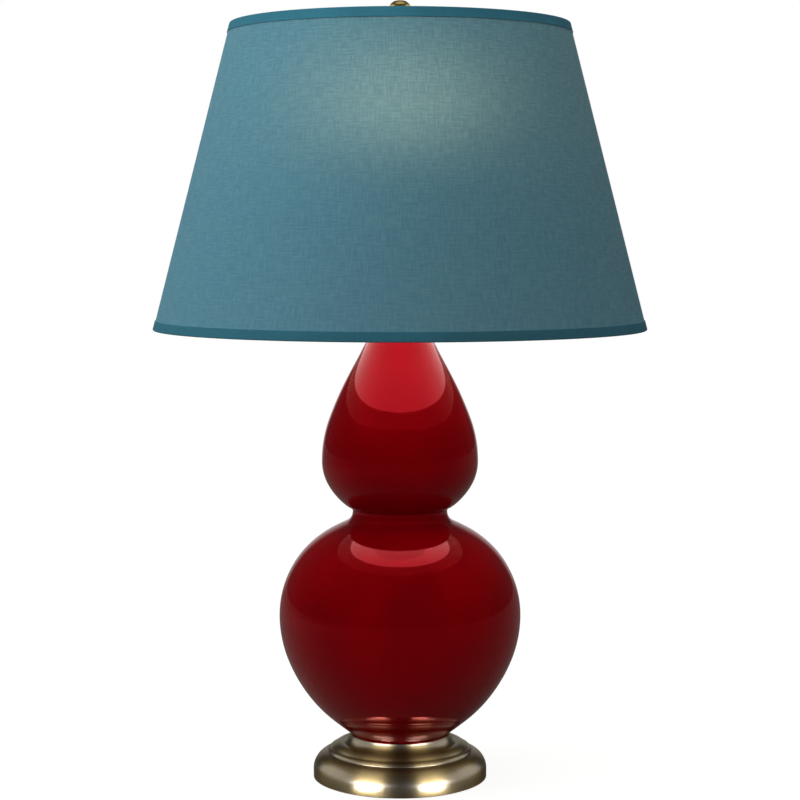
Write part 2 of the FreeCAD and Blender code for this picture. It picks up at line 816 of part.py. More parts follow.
def holder_metal():
    """Screw shell, centre contact and the pair of terminal screws."""
    bulb_room = L["bulb_cap_radius"] + L["inside_gap"]
    turned("screw_shell", [
        Corner(bulb_room, core_top),
        Corner(bulb_room + L["screw_shell_wall"], core_top),
        Corner(bulb_room + L["screw_shell_wall"], core_top + L["screw_shell_length"]),
        Corner(bulb_room, core_top + L["screw_shell_length"]),
    ])
    turned("centre_contact", [
        Corner(0, core_top),
        Corner(L["contact_radius"], core_top),
        Corner(L["contact_radius"], contact_top),
        Corner(0, contact_top),
    ])
    screws = []
    for side in (1, -1):
        screw = doc.addObject("Part::Cylinder", "terminal_screw")
        screw.setExpression("Radius", L["terminal_radius"].text)
        screw.setExpression("Height", L["terminal_length"].text)
        screw.Placement.Rotation = FreeCAD.Rotation(FreeCAD.Vector(0, 1, 0), 90 * side)
        screw.setExpression("Placement.Base.x", (L["core_flat"] * side).text)
        screw.setExpression("Placement.Base.z", (core_bottom + L["terminal_spacing"]).text)
        screws.append(screw)
    pair = doc.addObject("Part::Compound", "terminal_screws")
    pair.Label = "terminal_screws"
    pair.Links = screws


def lay_towards_switch(body):
    """Lay a piece that was turned upright down towards the front, at the switch's height."""
    body.Placement.Rotation = FreeCAD.Rotation(FreeCAD.Vector(1, 0, 0), 90)
    body.setExpression("Placement.Base.z", spindle_height.text)


def switch():
    """Turn switch: a spindle in the core and a knob outside the shell."""
    inner_end = core_radius - L["spindle_depth"] + L["seat_gap"]
    knob_start = L["holder_cap_radius"] + L["knob_stand_off"]
    spindle_end = knob_start + L["knob_grip"]
    knob_end = knob_start + L["knob_length"]
    lay_towards_switch(turned("switch_spindle", [
        Corner(0, inner_end),
        Corner(L["spindle_radius"], inner_end),
        Corner(L["spindle_radius"], spindle_end),
        Corner(0, spindle_end),
    ]))
    knob_bore = L["spindle_radius"] + L["running_gap"]
    grip = L["knob_radius"] * 0.75
    lay_towards_switch(turned("switch_knob", [
        Corner(knob_bore, knob_start),
        Corner(L["knob_radius"], knob_start, 0.12),
        Corner(grip, knob_start + L["knob_length"] / 2, 0.12),
        Corner(L["knob_radius"], knob_end - 1, 0.2),
        Corner(L["knob_radius"] - 1, knob_end),
        Corner(0, knob_end),
        Corner(0, spindle_end),
        Corner(knob_bore, spindle_end),
    ]))


# ---------------------------------------------------------------- bulb


def bulb():
    """Bulb: hollow glass, screw cap and the insulated centre tip."""
    neck = L["bulb_cap_radius"] - 0.4
    glass_top = bulb_cap_top + L["bulb_length"]
    widest = glass_top - L["bulb_radius"]
    wall = L["bulb_glass_wall"]
    foot = bulb_cap_top + L["bulb_cap_length"] * 0.2
    turned("bulb_glass", [
        Corner(neck, bulb_cap_top),
        Corner(neck, foot, -0.08),
        Corner(L["bulb_radius"], widest, 0.2),
        Corner(L["pip_radius"], glass_top),
        Corner(0, glass_top),
        Corner(0, glass_top - wall),
        Corner(L["pip_radius"], glass_top - wall, -0.2),
        Corner(L["bulb_radius"] - wall, widest, 0.08),
        Corner(neck - wall, foot),
        Corner(neck - wall, bulb_cap_top),
    ])
    turned("bulb_cap", [
        Corner(0, bulb_cap_bottom),
        Corner(L["bulb_tip_radius"], bulb_cap_bottom),
        Corner(L["bulb_cap_radius"], bulb_cap_bottom + 2.5),
        Corner(L["bulb_cap_radius"], bulb_cap_top),
        Corner(0, bulb_cap_top),
    ])
    turned("bulb_tip", [
        Corner(0, bulb_bottom),
        Corner(L["bulb_tip_radius"] * 0.6, bulb_bottom),
        Corner(L["bulb_tip_radius"], bulb_cap_bottom),
        Corner(0, bulb_cap_bottom),
    ])


# ---------------------------------------------------------------- harp


def harp_wire():
    """The harp's two bent wires, each from its tongue to the boss, as one group."""
    straight_top = saddle_top + L["harp_straight"]
    flare_top = straight_top + L["harp_flare"]
    turn_start = harp_top - L["harp_half_width"] + L["boss_width"] / 2
    half_across = (L["harp_foot"] + L["harp_half_width"]) / 2
    half_up = (straight_top + flare_top) / 2
    run = (L["harp_half_width"] - L["harp_foot"]) / 2
    rise = L["harp_flare"] / 2
    flare_bow = flare_arc_bow(run.value, rise.value)
    wire_start = tongue_top + L["seat_gap"]
    sides = []
    for side, name in ((1, "right"), (-1, "left")):
        body = new_body(f"harp_wire_{name}")
        path = new_sketch(body, f"harp_path_{name}", "XZ_Plane")
        draw(path, [
            Corner(L["harp_foot"] * side, wire_start),
            Corner(L["harp_foot"] * side, straight_top, -flare_bow * side),
            Corner(half_across * side, half_up, flare_bow * side),
            Corner(L["harp_half_width"] * side, flare_top),
            Corner(L["harp_half_width"] * side, turn_start, 0.2071068 * side),
            Corner(L["boss_width"] / 2 * side, harp_top),
        ], closed=False)
        section = new_sketch(body, f"harp_section_{name}", "XY_Plane", wire_start)
        draw_circle(section, L["harp_foot"] * side, 0, L["harp_wire"])
        doc.recompute()
        pipe = body.newObject("PartDesign::AdditivePipe", f"harp_pipe_{name}")
        pipe.Profile = section
        pipe.Spine = (path, [f"Edge{index + 1}" for index in range(path.GeometryCount)])
        doc.recompute()
        tongue = new_sketch(body, f"harp_tongue_{name}", "XZ_Plane")
        near = L["harp_foot"] + L["running_gap"]
        far = L["harp_foot"] + L["harp_wire"]
        low = tongue_bottom + L["seat_gap"]
        draw(tongue, [
            Corner(near * side, low),
            Corner(far * side, low),
            Corner(far * side, wire_start + L["harp_wire"]),
            Corner(near * side, wire_start + L["harp_wire"]),
        ])
        extrude(body, "Pad", tongue, L["harp_wire"], centred=True)
        sides.append(body)
    pair = doc.addObject("Part::Compound", "harp_wire")
    pair.Label = "harp_wire"
    pair.Links = sides


def flare_arc_bow(run, rise):
    """Bow of each of the two equal arcs that shift a straight run sideways."""
    chord = math.hypot(run, rise)
    radius = chord * chord / (2 * run)
    return (radius - math.sqrt(radius * radius - chord * chord / 4)) / chord


def harp_boss():
    """Block at the top of the harp, drilled for the swivelling stud."""
    body = new_body("harp_boss")
    block = new_sketch(body, "harp_boss_block", "XY_Plane", boss_bottom)
    half_width, half_depth = L["boss_width"] / 2, L["boss_depth"] / 2
    draw(block, [
        Corner(-half_width, -half_depth),
        Corner(half_width, -half_depth),
        Corner(half_width, half_depth),
        Corner(-half_width, half_depth),
    ])
    extrude(body, "Pad", block, L["boss_height"])
    hole = new_sketch(body, "harp_boss_hole", "XY_Plane", boss_bottom)
    draw_circle(hole, 0, 0, L["swivel_radius"] + L["running_gap"])
    pocket(body, hole, L["boss_height"], reverse=True)


def ferrules():
    """Two sliding sleeves that lock the harp's feet to the saddle's tongues."""
    bore = L["harp_wire"] * math.sqrt(2) + L["skin_gap"]
    low = tongue_bottom + L["seat_gap"]
    for side, name in ((1, "ferrule_right"), (-1, "ferrule_left")):
        sleeve = turned(name, [
            Corner(bore, low),
            Corner(bore + L["ferrule_wall"], low),
            Corner(bore + L["ferrule_wall"], tongue_top),
            Corner(bore, tongue_top),
        ])
        sleeve.setExpression("Placement.Base.x", (L["harp_foot"] * side).text)


def harp_stud():
    """Stud that turns in the boss: head below, rest for the shade above, then the thread."""
    head_top = boss_bottom - L["seat_gap"]
    head_radius = L["swivel_radius"] + L["swivel_head"]
    turned("harp_stud", [
        Corner(0, head_top - L["swivel_head_thickness"]),
        Corner(head_radius, head_top - L["swivel_head_thickness"]),
        Corner(head_radius, head_top),
        Corner(L["swivel_radius"], head_top),
        Corner(L["swivel_radius"], rest_bottom),
        Corner(L["rest_radius"], rest_bottom),
        Corner(L["rest_radius"], rest_top),
        Corner(L["stud_radius"], rest_top),
        Corner(L["stud_radius"], stud_top - 1),
        Corner(L["stud_radius"] - 1, stud_top),
        Corner(0, stud_top),
    ])


# ---------------------------------------------------------------- shade


def shade_skins():
    """Cloth cover, white liner, folded trims and the seam strip at the rear."""
    low, high = L["shade_bottom"], shade_top
    cover, liner = L["cover_thickness"], L["liner_thickness"]
    cone_band("shade_cover", low, high, Size.of(0), cover)
    cone_band("shade_liner", low, high, -(cover + L["skin_gap"]), liner)
    for name, edge, up in (("top_trim", high, 1), ("bottom_trim", low, -1)):
        leg_end = edge - L["trim_width"] * up
        inner = L["skin_gap"]
        outer = L["skin_gap"] + L["trim_thickness"]
        fold = edge + outer * up
        lip = shade_radius(edge) - cover - liner - L["ring_wire"] - L["inside_gap"]
        corners = [
            Corner(shade_radius(leg_end) + inner, leg_end),
            Corner(shade_radius(leg_end) + outer, leg_end),
            Corner(shade_radius(edge) + outer, fold),
            Corner(lip, fold),
            Corner(lip, edge + inner * up),
            Corner(shade_radius(edge) + inner, edge + inner * up),
        ]
        turned(name, corners)
    seam_outside = L["skin_gap"] + L["seam_thickness"]
    room = L["trim_width"] + L["skin_gap"]
    band = cone_band("seam_band", low + room, high - room, seam_outside, L["seam_thickness"])
    slab = doc.addObject("Part::Box", "seam_slab")
    slab.setExpression("Length", L["seam_width"].text)
    slab.setExpression("Width", (L["shade_bottom_radius"] * 1.1).text)
    slab.setExpression("Height", shade_height.text)
    slab.setExpression("Placement.Base.x", (-L["seam_width"] / 2).text)
    slab.setExpression("Placement.Base.z", low.text)
    seam = doc.addObject("Part::Common", "shade_seam")
    seam.Label = "shade_seam"
    seam.Base = band
    seam.Tool = slab


def shade_frame():
    """Wire rings, hub and the three arms that join the hub to the top ring."""
    skins = L["cover_thickness"] + L["liner_thickness"] + L["ring_wire"] + L["inside_gap"]
    ring_drop = L["ring_wire"] + L["inside_gap"]
    top_height = shade_top - ring_drop
    bottom_height = L["shade_bottom"] + ring_drop
    top_radius = shade_radius(top_height) - skins
    wire_loop("top_ring", top_radius, L["ring_wire"], top_height)
    bottom_radius = shade_radius(bottom_height + L["ring_wire"]) - skins
    wire_loop("bottom_ring", bottom_radius, L["ring_wire"], bottom_height)
    hub_hole = L["stud_radius"] + L["inside_gap"]
    turned("spider_hub", [
        Corner(hub_hole, hub_bottom),
        Corner(L["hub_radius"], hub_bottom),
        Corner(L["hub_radius"], hub_top),
        Corner(hub_hole, hub_top),
    ])
    run = top_radius - L["ring_wire"] - L["hub_radius"] - L["running_gap"] * 2
    rise = top_height - (hub_bottom + hub_top) / 2
    length = root(run * run + rise * rise)
    climb = math.degrees(math.atan2(rise.value, run.value))
    tilt = Size(90 - climb, f"90 deg - atan({rise.text} / {run.text})")
    arms = []
    for step in range(ARMS):
        turn = math.radians(REAR + 360 / ARMS * step)
        arm = doc.addObject("Part::Cylinder", "spider_arm")
        arm.setExpression("Radius", L["arm_wire"].text)
        arm.setExpression("Height", length.text)
        side = FreeCAD.Vector(-math.sin(turn), math.cos(turn), 0)
        start = L["hub_radius"] + L["running_gap"]
        arm.Placement = FreeCAD.Placement(FreeCAD.Vector(), FreeCAD.Rotation(side, tilt.value))
        arm.setExpression("Placement.Rotation.Angle", tilt.text)
        arm.setExpression("Placement.Base.x", (start * round(math.cos(turn), 12)).text)
        arm.setExpression("Placement.Base.y", (start * round(math.sin(turn), 12)).text)
        arm.setExpression("Placement.Base.z", ((hub_bottom + hub_top) / 2).text)
        arms.append(arm)
    group = doc.addObject("Part::Compound", "spider_arms")
    group.Label = "spider_arms"
    group.Links = arms


def finial():
    """Turned finial with a blind bore for the stud."""
    bore = L["stud_radius"] + L["running_gap"]
    base = finial_bottom
    turned("finial", [
        Corner(bore, base),
        Corner(L["finial_base_radius"], base, 0.12),
        Corner(L["finial_base_radius"] - 0.4, base + L["finial_base_height"]),
        Corner(L["finial_neck_radius"], base + L["finial_base_height"] + 1.5, -0.04),
        Corner(L["finial_neck_radius"], base + L["finial_neck_height"], -0.12),
        Corner(L["finial_knob_radius"], base + L["finial_knob_height"], 0.1),
        Corner(L["finial_shoulder_radius"], base + L["finial_shoulder_height"]),
        Corner(L["finial_tip_radius"], base + L["finial_shoulder_height"] + 0.4, 0.18),
        Corner(L["pip_radius"], base + L["finial_height"]),
        Corner(0, base + L["finial_height"]),
        Corner(0, base + L["finial_bore_depth"]),
        Corner(bore, base + L["finial_bore_depth"]),
    ])


# ---------------------------------------------------------------- build, check and write

PIECES = (
    "felt_pad base_shell base_weight cord_grommet lamp_pipe bottom_washer bottom_nut base_gasket "
    "ceramic_body neck_gasket vase_cap neck_tube harp_saddle holder_cap pipe_bushing holder_shell "
    "holder_sleeve holder_core screw_shell centre_contact terminal_screws switch_spindle switch_knob "
    "bulb_glass bulb_cap bulb_tip harp_wire harp_boss ferrule_right ferrule_left harp_stud "
    "shade_cover shade_liner top_trim bottom_trim shade_seam top_ring bottom_ring spider_hub "
    "spider_arms finial"
).split()


def build():
    felt_pad()
    base_shell()
    base_weight()
    cord_grommet()
    clamp_stack()
    ceramic_body()
    vase_cap()
    harp_saddle()
    holder_cap()
    holder_shell()
    holder_core()
    holder_metal()
    switch()
    bulb()
    harp_wire()
    harp_boss()
    ferrules()
    harp_stud()
    shade_skins()
    shade_frame()
    finial()
    doc.recompute()


def check():
    """Stop if any object failed or any piece is not a valid shape."""
    for item in doc.Objects:
        if {"Invalid", "Error"} & set(item.State):
            raise RuntimeError(f"{item.Name} failed: {item.State}")
    for label in PIECES:
        shape = doc.getObjectsByLabel(label)[0].Shape
        if shape.isNull() or not shape.isValid() or not shape.Solids:
            raise RuntimeError(f"{label} has no valid solid")


def write():
    os.makedirs("parts", exist_ok=True)
    for label in PIECES:
        shape = doc.getObjectsByLabel(label)[0].Shape
        shape.exportStep(f"parts/{label}.step")
        box = shape.BoundBox
        print(f"{label:18s} solids {len(shape.Solids)}  volume {shape.Volume:12.1f}"
              f"  z {box.ZMin:7.2f} to {box.ZMax:7.2f}  width {box.XLength:7.2f}")


build()
check()
write()
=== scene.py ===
"""Double gourd table lamp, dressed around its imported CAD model.

The classes hold their sizes in millimetres, and the meshes are in metres. +Z is up, -Y is the
front, +Y the rear, and the origin is the middle of the felt under the foot.
"""

import logging
import math
from collections.abc import Callable, Iterator, Sequence
from contextlib import contextmanager
from dataclasses import dataclass
from enum import Enum
from functools import cache

import bpy
from mathutils import Matrix, Vector


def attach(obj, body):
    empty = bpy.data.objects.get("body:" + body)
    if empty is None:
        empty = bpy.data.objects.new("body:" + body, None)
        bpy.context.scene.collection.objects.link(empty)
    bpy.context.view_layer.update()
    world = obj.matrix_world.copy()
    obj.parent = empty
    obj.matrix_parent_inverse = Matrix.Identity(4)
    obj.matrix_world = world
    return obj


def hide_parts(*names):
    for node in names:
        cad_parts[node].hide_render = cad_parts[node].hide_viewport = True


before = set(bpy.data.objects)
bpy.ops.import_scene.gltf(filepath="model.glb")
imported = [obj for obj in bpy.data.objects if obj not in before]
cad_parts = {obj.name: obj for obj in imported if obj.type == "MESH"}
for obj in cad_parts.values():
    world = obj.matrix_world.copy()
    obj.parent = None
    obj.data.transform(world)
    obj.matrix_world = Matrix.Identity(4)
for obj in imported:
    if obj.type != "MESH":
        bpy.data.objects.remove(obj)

logging.basicConfig(level=logging.INFO, format="%(name)s: %(message)s")
LOG = logging.getLogger("lamp")
MM = 0.001
FULL_TURN = 2 * math.pi
QUARTER_BOW = 0.2071068
PIPE_HOLE = 5.2

Point = tuple[float, float]
Row = tuple[float, ...]
Piece = bpy.types.Object
Node = bpy.types.Node
Socket = bpy.types.NodeSocket
Tree = bpy.types.NodeTree


class Body(Enum):
    """The moving bodies that a piece can ride on."""

    STAND = "stand"
    SWITCH = "switch"
    BULB = "bulb"
    HARP = "harp"
    RIGHT_FERRULE = "right_ferrule"
    LEFT_FERRULE = "left_ferrule"
    STUD = "stud"
    SHADE = "shade"
    FINIAL = "finial_knob"


class Slot(Enum):
    """The record's material slots."""

    FELT = "felt"
    ANTIQUE_BRASS = "antique_brass"
    CAST_IRON = "cast_iron"
    BLACK_PLASTIC = "black_plastic"
    ZINC_STEEL = "zinc_steel"
    RUBBER = "gasket_rubber"
    RED_GLAZE = "red_glaze"
    HARP_BRASS = "harp_brass"
    HOLDER_BRASS = "holder_brass"
    CARD = "card"
    ALUMINIUM = "aluminium"
    OPAL_GLASS = "opal_glass"
    TEAL_CLOTH = "teal_cloth"
    TEAL_TRIM = "teal_trim"
    WHITE_LINER = "white_liner"
    WHITE_WIRE = "white_wire"


# ---------------------------------------------------------------- outlines


@dataclass(frozen=True)
class Corner:
    """A corner of a half outline, in millimetres.

    Args:
        across: Distance from the axis.
        up: Height.
        bow: How far the stretch to the next corner bends to the right, as a share of its chord.
    """

    across: float
    up: float
    bow: float = 0.0


def bowed(start: Point, end: Point, bow: float, pieces: int) -> list[Point]:
    """Points along the arc from start to end, without its start.

    Args:
        start: First end, as distance from the axis and height.
        end: Second end.
        bow: Height of the arc over its chord, as a share of the chord, to the right if positive.
        pieces: Number of straight pieces that stand for the arc.

    Returns:
        The points after start, up to and with end.
    """
    chord = Vector(end) - Vector(start)
    if abs(bow) < 1e-6:
        run, rise = end[0] - start[0], end[1] - start[1]
        steps = range(1, pieces + 1)
        return [(start[0] + run * step / pieces, start[1] + rise * step / pieces) for step in steps]
    along = chord.normalized()
    right = Vector((along.y, -along.x))
    half_angle = 2 * math.atan(2 * bow)
    radius = chord.length / (2 * math.sin(half_angle))
    centre = (Vector(start) + Vector(end)) / 2 + right * (bow * chord.length - radius)
    points = []
    for step in range(1, pieces + 1):
        angle = half_angle * (2 * step / pieces - 1)
        spot = centre + (right * math.cos(angle) + along * math.sin(angle)) * radius
        points.append((spot.x, spot.y))
    return points


def trace(rows: Sequence[Row], pieces: int, closed: bool = True) -> list[Point]:
    """Turn corners into a line of points, dividing only the stretches that bend.

    Args:
        rows: The values of each corner.
        pieces: Straight pieces in each bend.
        closed: Whether the line ends where it starts.

    Returns:
        The points of the line.
    """
    corners = [Corner(*row) for row in rows]
    line = [(corners[0].across, corners[0].up)]
    for corner, after in zip(corners, corners[1:] + (corners[:1] if closed else [])):
        count = pieces if corner.bow else 1
        line += bowed((corner.across, corner.up), (after.across, after.up), corner.bow, count)
    return line


@dataclass(frozen=True)
class Station:
    """A point of a flowing outline, with its slope in degrees from straight up."""

    across: float
    up: float
    slope: float = 0.0

    def direction(self) -> Vector:
        """The way the outline runs here."""
        return Vector((math.sin(math.radians(self.slope)), math.cos(math.radians(self.slope))))

    def inset(self, depth: float) -> "Station":
        """The same station moved square to the outline into the wall."""
        angle = math.radians(self.slope)
        across, up = self.across - depth * math.cos(angle), self.up + depth * math.sin(angle)
        return Station(across, up, self.slope)


def tangent_bow(chord: Vector, direction: Vector) -> float:
    """Bow of the arc that leaves along direction and spans chord."""
    along = chord.normalized()
    right = Vector((along.y, -along.x))
    return math.tan(math.atan2(direction.dot(right), direction.dot(along)) / 2) / 2


def flow(stations: Sequence[Station], pieces: int) -> list[Point]:
    """A line of tangent arcs, two between each pair of stations.

    Args:
        stations: The points and slopes that it passes through.
        pieces: Straight pieces for each arc.

    Returns:
        The points of the line, from the first station to the last.
    """
    line = [(stations[0].across, stations[0].up)]
    for station, after in zip(stations, stations[1:]):
        start, end = Vector((station.across, station.up)), Vector((after.across, after.up))
        leave, reach = station.direction(), after.direction()
        span = end - start
        square = 2 * (leave.dot(reach) - 1)
        linear_part = -2 * span.dot(leave + reach)
        if abs(square) < 1e-9:
            reachable = -span.dot(span) / linear_part
        else:
            root = math.sqrt(linear_part * linear_part - 4 * square * span.dot(span))
            reachable = (-linear_part - root) / (2 * square)
        joint = (start + end + (leave - reach) * reachable) / 2
        line += bowed(tuple(start), tuple(joint), tangent_bow(joint - start, leave), pieces)
        line += bowed(tuple(joint), tuple(end), -tangent_bow(end - joint, reach), pieces)
    return line


# ---------------------------------------------------------------- workbench


def select_only(piece: Piece) -> None:
    """Make one object the selected and active one."""
    bpy.ops.object.select_all(action="DESELECT")
    piece.select_set(True)
    bpy.context.view_layer.objects.active = piece


@contextmanager
def editing(piece: Piece) -> Iterator[None]:
    """Open a piece in edit mode with all of it selected, and close it afterwards."""
    select_only(piece)
    bpy.ops.object.mode_set(mode="EDIT")
    bpy.ops.mesh.select_all(action="SELECT")
    yield
    bpy.ops.object.mode_set(mode="OBJECT")


def named(name: str) -> Piece:
    """Name the active object and its data."""
    piece = bpy.context.object
    piece.name = name
    piece.data.name = name
    return piece


def added(name: str, operator: Callable[..., object], **settings: object) -> Piece:
    """Add an object with one of Blender's operators, and name it."""
    bpy.ops.object.select_all(action="DESELECT")
    operator(**settings)
    return named(name)


def settle(piece: Piece) -> Piece:
    """Put an object's place, turn and scale into its mesh."""
    select_only(piece)
    bpy.ops.object.transform_apply(location=True, rotation=True, scale=True)
    return piece


def laid(piece: Piece, height: float, turn: float) -> Piece:
    """Lay an upright piece along Y at this height in millimetres, turned by this angle about X."""
    lift = Matrix.Translation((0, 0, height * MM))
    piece.matrix_world = lift @ Matrix.Rotation(turn, 4, "X")
    return settle(piece)


def lathe(name: str, outline: Sequence[Point], turns: int, centre: Point = (0.0, 0.0)) -> Piece:
    """Draw a half outline by extruding one vertex, and spin it about an upright axis.

    Args:
        name: Name of the piece.
        outline: Points in millimetres; a closed outline ends where it starts.
        turns: Steps round the axis.
        centre: Where the axis stands, in millimetres.

    Returns:
        The turned piece, with its doubles merged and its faces pointing outwards.
    """
    east, north = centre[0] * MM, centre[1] * MM
    plane = bpy.ops.mesh.primitive_plane_add
    piece = added(name, plane, size=MM, calc_uvs=False, location=(0, 0, 0))
    with editing(piece):
        bpy.ops.mesh.merge(type="CENTER")
        first = ((centre[0] + outline[0][0]) * MM, north, outline[0][1] * MM)
        bpy.ops.transform.translate(value=first)
        for start, end in zip(outline, outline[1:]):
            step = ((end[0] - start[0]) * MM, 0.0, (end[1] - start[1]) * MM)
            bpy.ops.mesh.extrude_region_move(TRANSFORM_OT_translate={"value": step})
        bpy.ops.mesh.select_all(action="SELECT")
        bpy.ops.mesh.remove_doubles(threshold=1e-6)
        bpy.ops.mesh.select_all(action="SELECT")
        bpy.ops.mesh.spin(
            steps=turns, angle=FULL_TURN, center=(east, north, 0), axis=(0, 0, 1),
            use_auto_merge=True,
        )
        bpy.ops.mesh.select_all(action="SELECT")
        bpy.ops.mesh.remove_doubles(threshold=2e-6)
        bpy.ops.mesh.normals_make_consistent(inside=False)
    return piece


def turned(name: str, rows: Sequence[Row], pieces: int, turns: int) -> Piece:
    """Spin the closed outline through these corners, with this many pieces in each bend."""
    return lathe(name, trace(rows, pieces), turns)


def face_away(piece: Piece) -> None:
    """Turn an open skin's faces away from the lamp's axis."""
    if sum(face.normal.dot(Vector((*face.center.xy, 0))) for face in piece.data.polygons) < 0:
        with editing(piece):
            bpy.ops.mesh.flip_normals()


def apply_modifier(piece: Piece, kind: str, **settings: object) -> None:
    """Add one modifier with its settings and apply it."""
    select_only(piece)
    modifier = piece.modifiers.new(kind.lower(), kind)
    for key, value in settings.items():
        setattr(modifier, key, value)
    bpy.ops.object.modifier_apply(modifier=modifier.name)


def smooth(piece: Piece, angle: float = 180.0) -> Piece:
    """Shade a piece smooth up to an angle in degrees."""
    select_only(piece)
    bpy.ops.object.shade_smooth_by_angle(angle=math.radians(angle))
    return piece


def ease(piece: Piece, width: float, segments: int = 2, angle: float = 28.0) -> Piece:
    """Round a piece's sharp edges and shade the rest smooth.

    Args:
        piece: The piece.
        width: Width of the rounding in millimetres.
        segments: Faces across the rounding.
        angle: Sharpest turn, in degrees, that still counts as smooth.

    Returns:
        The piece.
    """
    apply_modifier(
        piece, "BEVEL", width=width * MM, segments=segments, limit_method="ANGLE",
        angle_limit=math.radians(angle), miter_outer="MITER_ARC", use_clamp_overlap=True,
    )
    return smooth(piece, 40.0)


def cut(piece: Piece, cutter: Piece) -> None:
    """Take the cutter's shape out of a piece and throw the cutter away."""
    apply_modifier(piece, "BOOLEAN", operation="DIFFERENCE", object=cutter, solver="EXACT")
    bpy.data.objects.remove(cutter)


def rod(
    name: str, radius: float, start: Sequence[float], end: Sequence[float], sides: int = 32,
) -> Piece:
    """A plain round rod between two points in millimetres, as a cutter or a start."""
    first, last = Vector(start) * MM, Vector(end) * MM
    axis = last - first
    return settle(added(
        name, bpy.ops.mesh.primitive_cylinder_add, vertices=sides, radius=radius * MM,
        depth=axis.length, location=(first + last) / 2,
        rotation=axis.to_track_quat("Z", "Y").to_euler(),
    ))


def merged_copy(node: str, name: str) -> Piece:
    """A copy of a CAD node with a mesh of its own, its loose triangles joined into faces."""
    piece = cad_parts[node].copy()
    piece.data = piece.data.copy()
    piece.parent = None
    piece.name = piece.data.name = name
    for key in [key for key in piece.keys() if key.startswith("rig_")]:
        del piece[key]
    bpy.context.scene.collection.objects.link(piece)
    with editing(piece):
        bpy.ops.mesh.remove_doubles(threshold=1e-6)
        bpy.ops.mesh.dissolve_limited(angle_limit=math.radians(1.0))
    return piece


def joined(name: str, parts: Sequence[Piece]) -> Piece:
    """Join separate meshes into one piece."""
    bpy.ops.object.select_all(action="DESELECT")
    for part in parts:
        part.select_set(True)
    bpy.context.view_layer.objects.active = parts[0]
    bpy.ops.object.join()
    return named(name)


def swept(name: str, points: Sequence[Sequence[float]], radius: float, sides: int) -> Piece:
    """A round wire along points in millimetres, as a mesh with closed ends."""
    curve = bpy.data.curves.new(name, "CURVE")
    curve.dimensions = "3D"
    curve.bevel_depth = radius * MM
    curve.bevel_resolution = sides
    curve.use_fill_caps = True
    line = curve.splines.new("POLY")
    line.points.add(len(points) - 1)
    for spot, place in zip(line.points, points):
        spot.co = (place[0] * MM, place[1] * MM, place[2] * MM, 1.0)
    piece = bpy.data.objects.new(name, curve)
    bpy.context.scene.collection.objects.link(piece)
    select_only(piece)
    bpy.ops.object.convert(target="MESH")
    piece = bpy.context.object
    with editing(piece):
        bpy.ops.mesh.remove_doubles(threshold=1e-6)
        bpy.ops.mesh.normals_make_consistent(inside=False)
    return piece


def unroll(piece: Piece, radius: float) -> None:
    """Give a conical skin a flat layout in metres: along the cloth at this radius, and up it.

    Args:
        piece: The skin.
        radius: Radius in millimetres at which one metre of the layout is one metre of cloth.
    """
    layer = piece.data.uv_layers.new(name="unrolled")
    for face in piece.data.polygons:
        corners = [piece.data.vertices[index].co for index in face.vertices]
        angles = [math.atan2(corner.x, -corner.y) for corner in corners]
        if max(angles) - min(angles) > math.pi:
            angles = [angle + FULL_TURN if angle < 0 else angle for angle in angles]
        for loop, corner, angle in zip(face.loop_indices, corners, angles):
            layer.data[loop].uv = (angle * radius * MM, corner.z)


# ---------------------------------------------------------------- shader parts


def linear(colour: str) -> tuple[float, float, float, float]:
    """A colour written as an sRGB hex value, as the linear values that a shader takes."""
    channels = [int(colour[start:start + 2], 16) / 255 for start in (1, 3, 5)]
    return tuple(
        channel / 12.92 if channel <= 0.04045 else ((channel + 0.055) / 1.055) ** 2.4
        for channel in channels
    ) + (1.0,)


def add_node(
    tree: Tree, kind: str, settings: dict[str, object] | None = None,
    sockets: dict[str | int, object] | None = None,
) -> Node:
    """Add a node with its settings, socket values and links.

    Args:
        tree: The material's or world's tree.
        kind: The node's type, without its "ShaderNode" start.
        settings: Its properties by name.
        sockets: Its inputs by name or place. Another node's output is linked, a hex colour is
            turned linear, and anything else is set.

    Returns:
        The new node.
    """
    node = tree.nodes.new(f"ShaderNode{kind}")
    for key, value in (settings or {}).items():
        setattr(node, key, value)
    for key, value in (sockets or {}).items():
        if isinstance(value, Socket):
            tree.links.new(value, node.inputs[key])
        else:
            node.inputs[key].default_value = linear(value) if isinstance(value, str) else value
    return node


def blank_tree(owner: bpy.types.Material | bpy.types.World) -> Tree:
    """Give a material or a world an empty tree."""
    owner.use_nodes = True
    owner.node_tree.nodes.clear()
    return owner.node_tree


def feed(tree: Tree, shader: Node, sockets: dict[str, Socket]) -> Socket:
    """Link values into a shader's sockets, and return the shader."""
    for key, value in sockets.items():
        tree.links.new(value, shader.inputs[key])
    return shader.outputs[0]


def maths(tree: Tree, operation: str, *values: Socket | float) -> Socket:
    """Work one value out of others."""
    return add_node(tree, "Math", {"operation": operation}, dict(enumerate(values))).outputs[0]


def axes(tree: Tree, source: str = "Object") -> tuple[Socket, ...]:
    """The three coordinates of a place on the piece, or of a direction in a world."""
    place = add_node(tree, "TexCoord")
    return tuple(add_node(tree, "SeparateXYZ", sockets={0: place.outputs[source]}).outputs)


def placed(tree: Tree, scale: Sequence[float], source: str = "Object") -> Socket:
    """Coordinates of the piece, divided into cells of these sizes in millimetres."""
    place = add_node(tree, "TexCoord").outputs[source]
    cells = [1 / (size * MM) for size in scale]
    return add_node(tree, "Mapping", sockets={"Vector": place, "Scale": cells}).outputs[0]


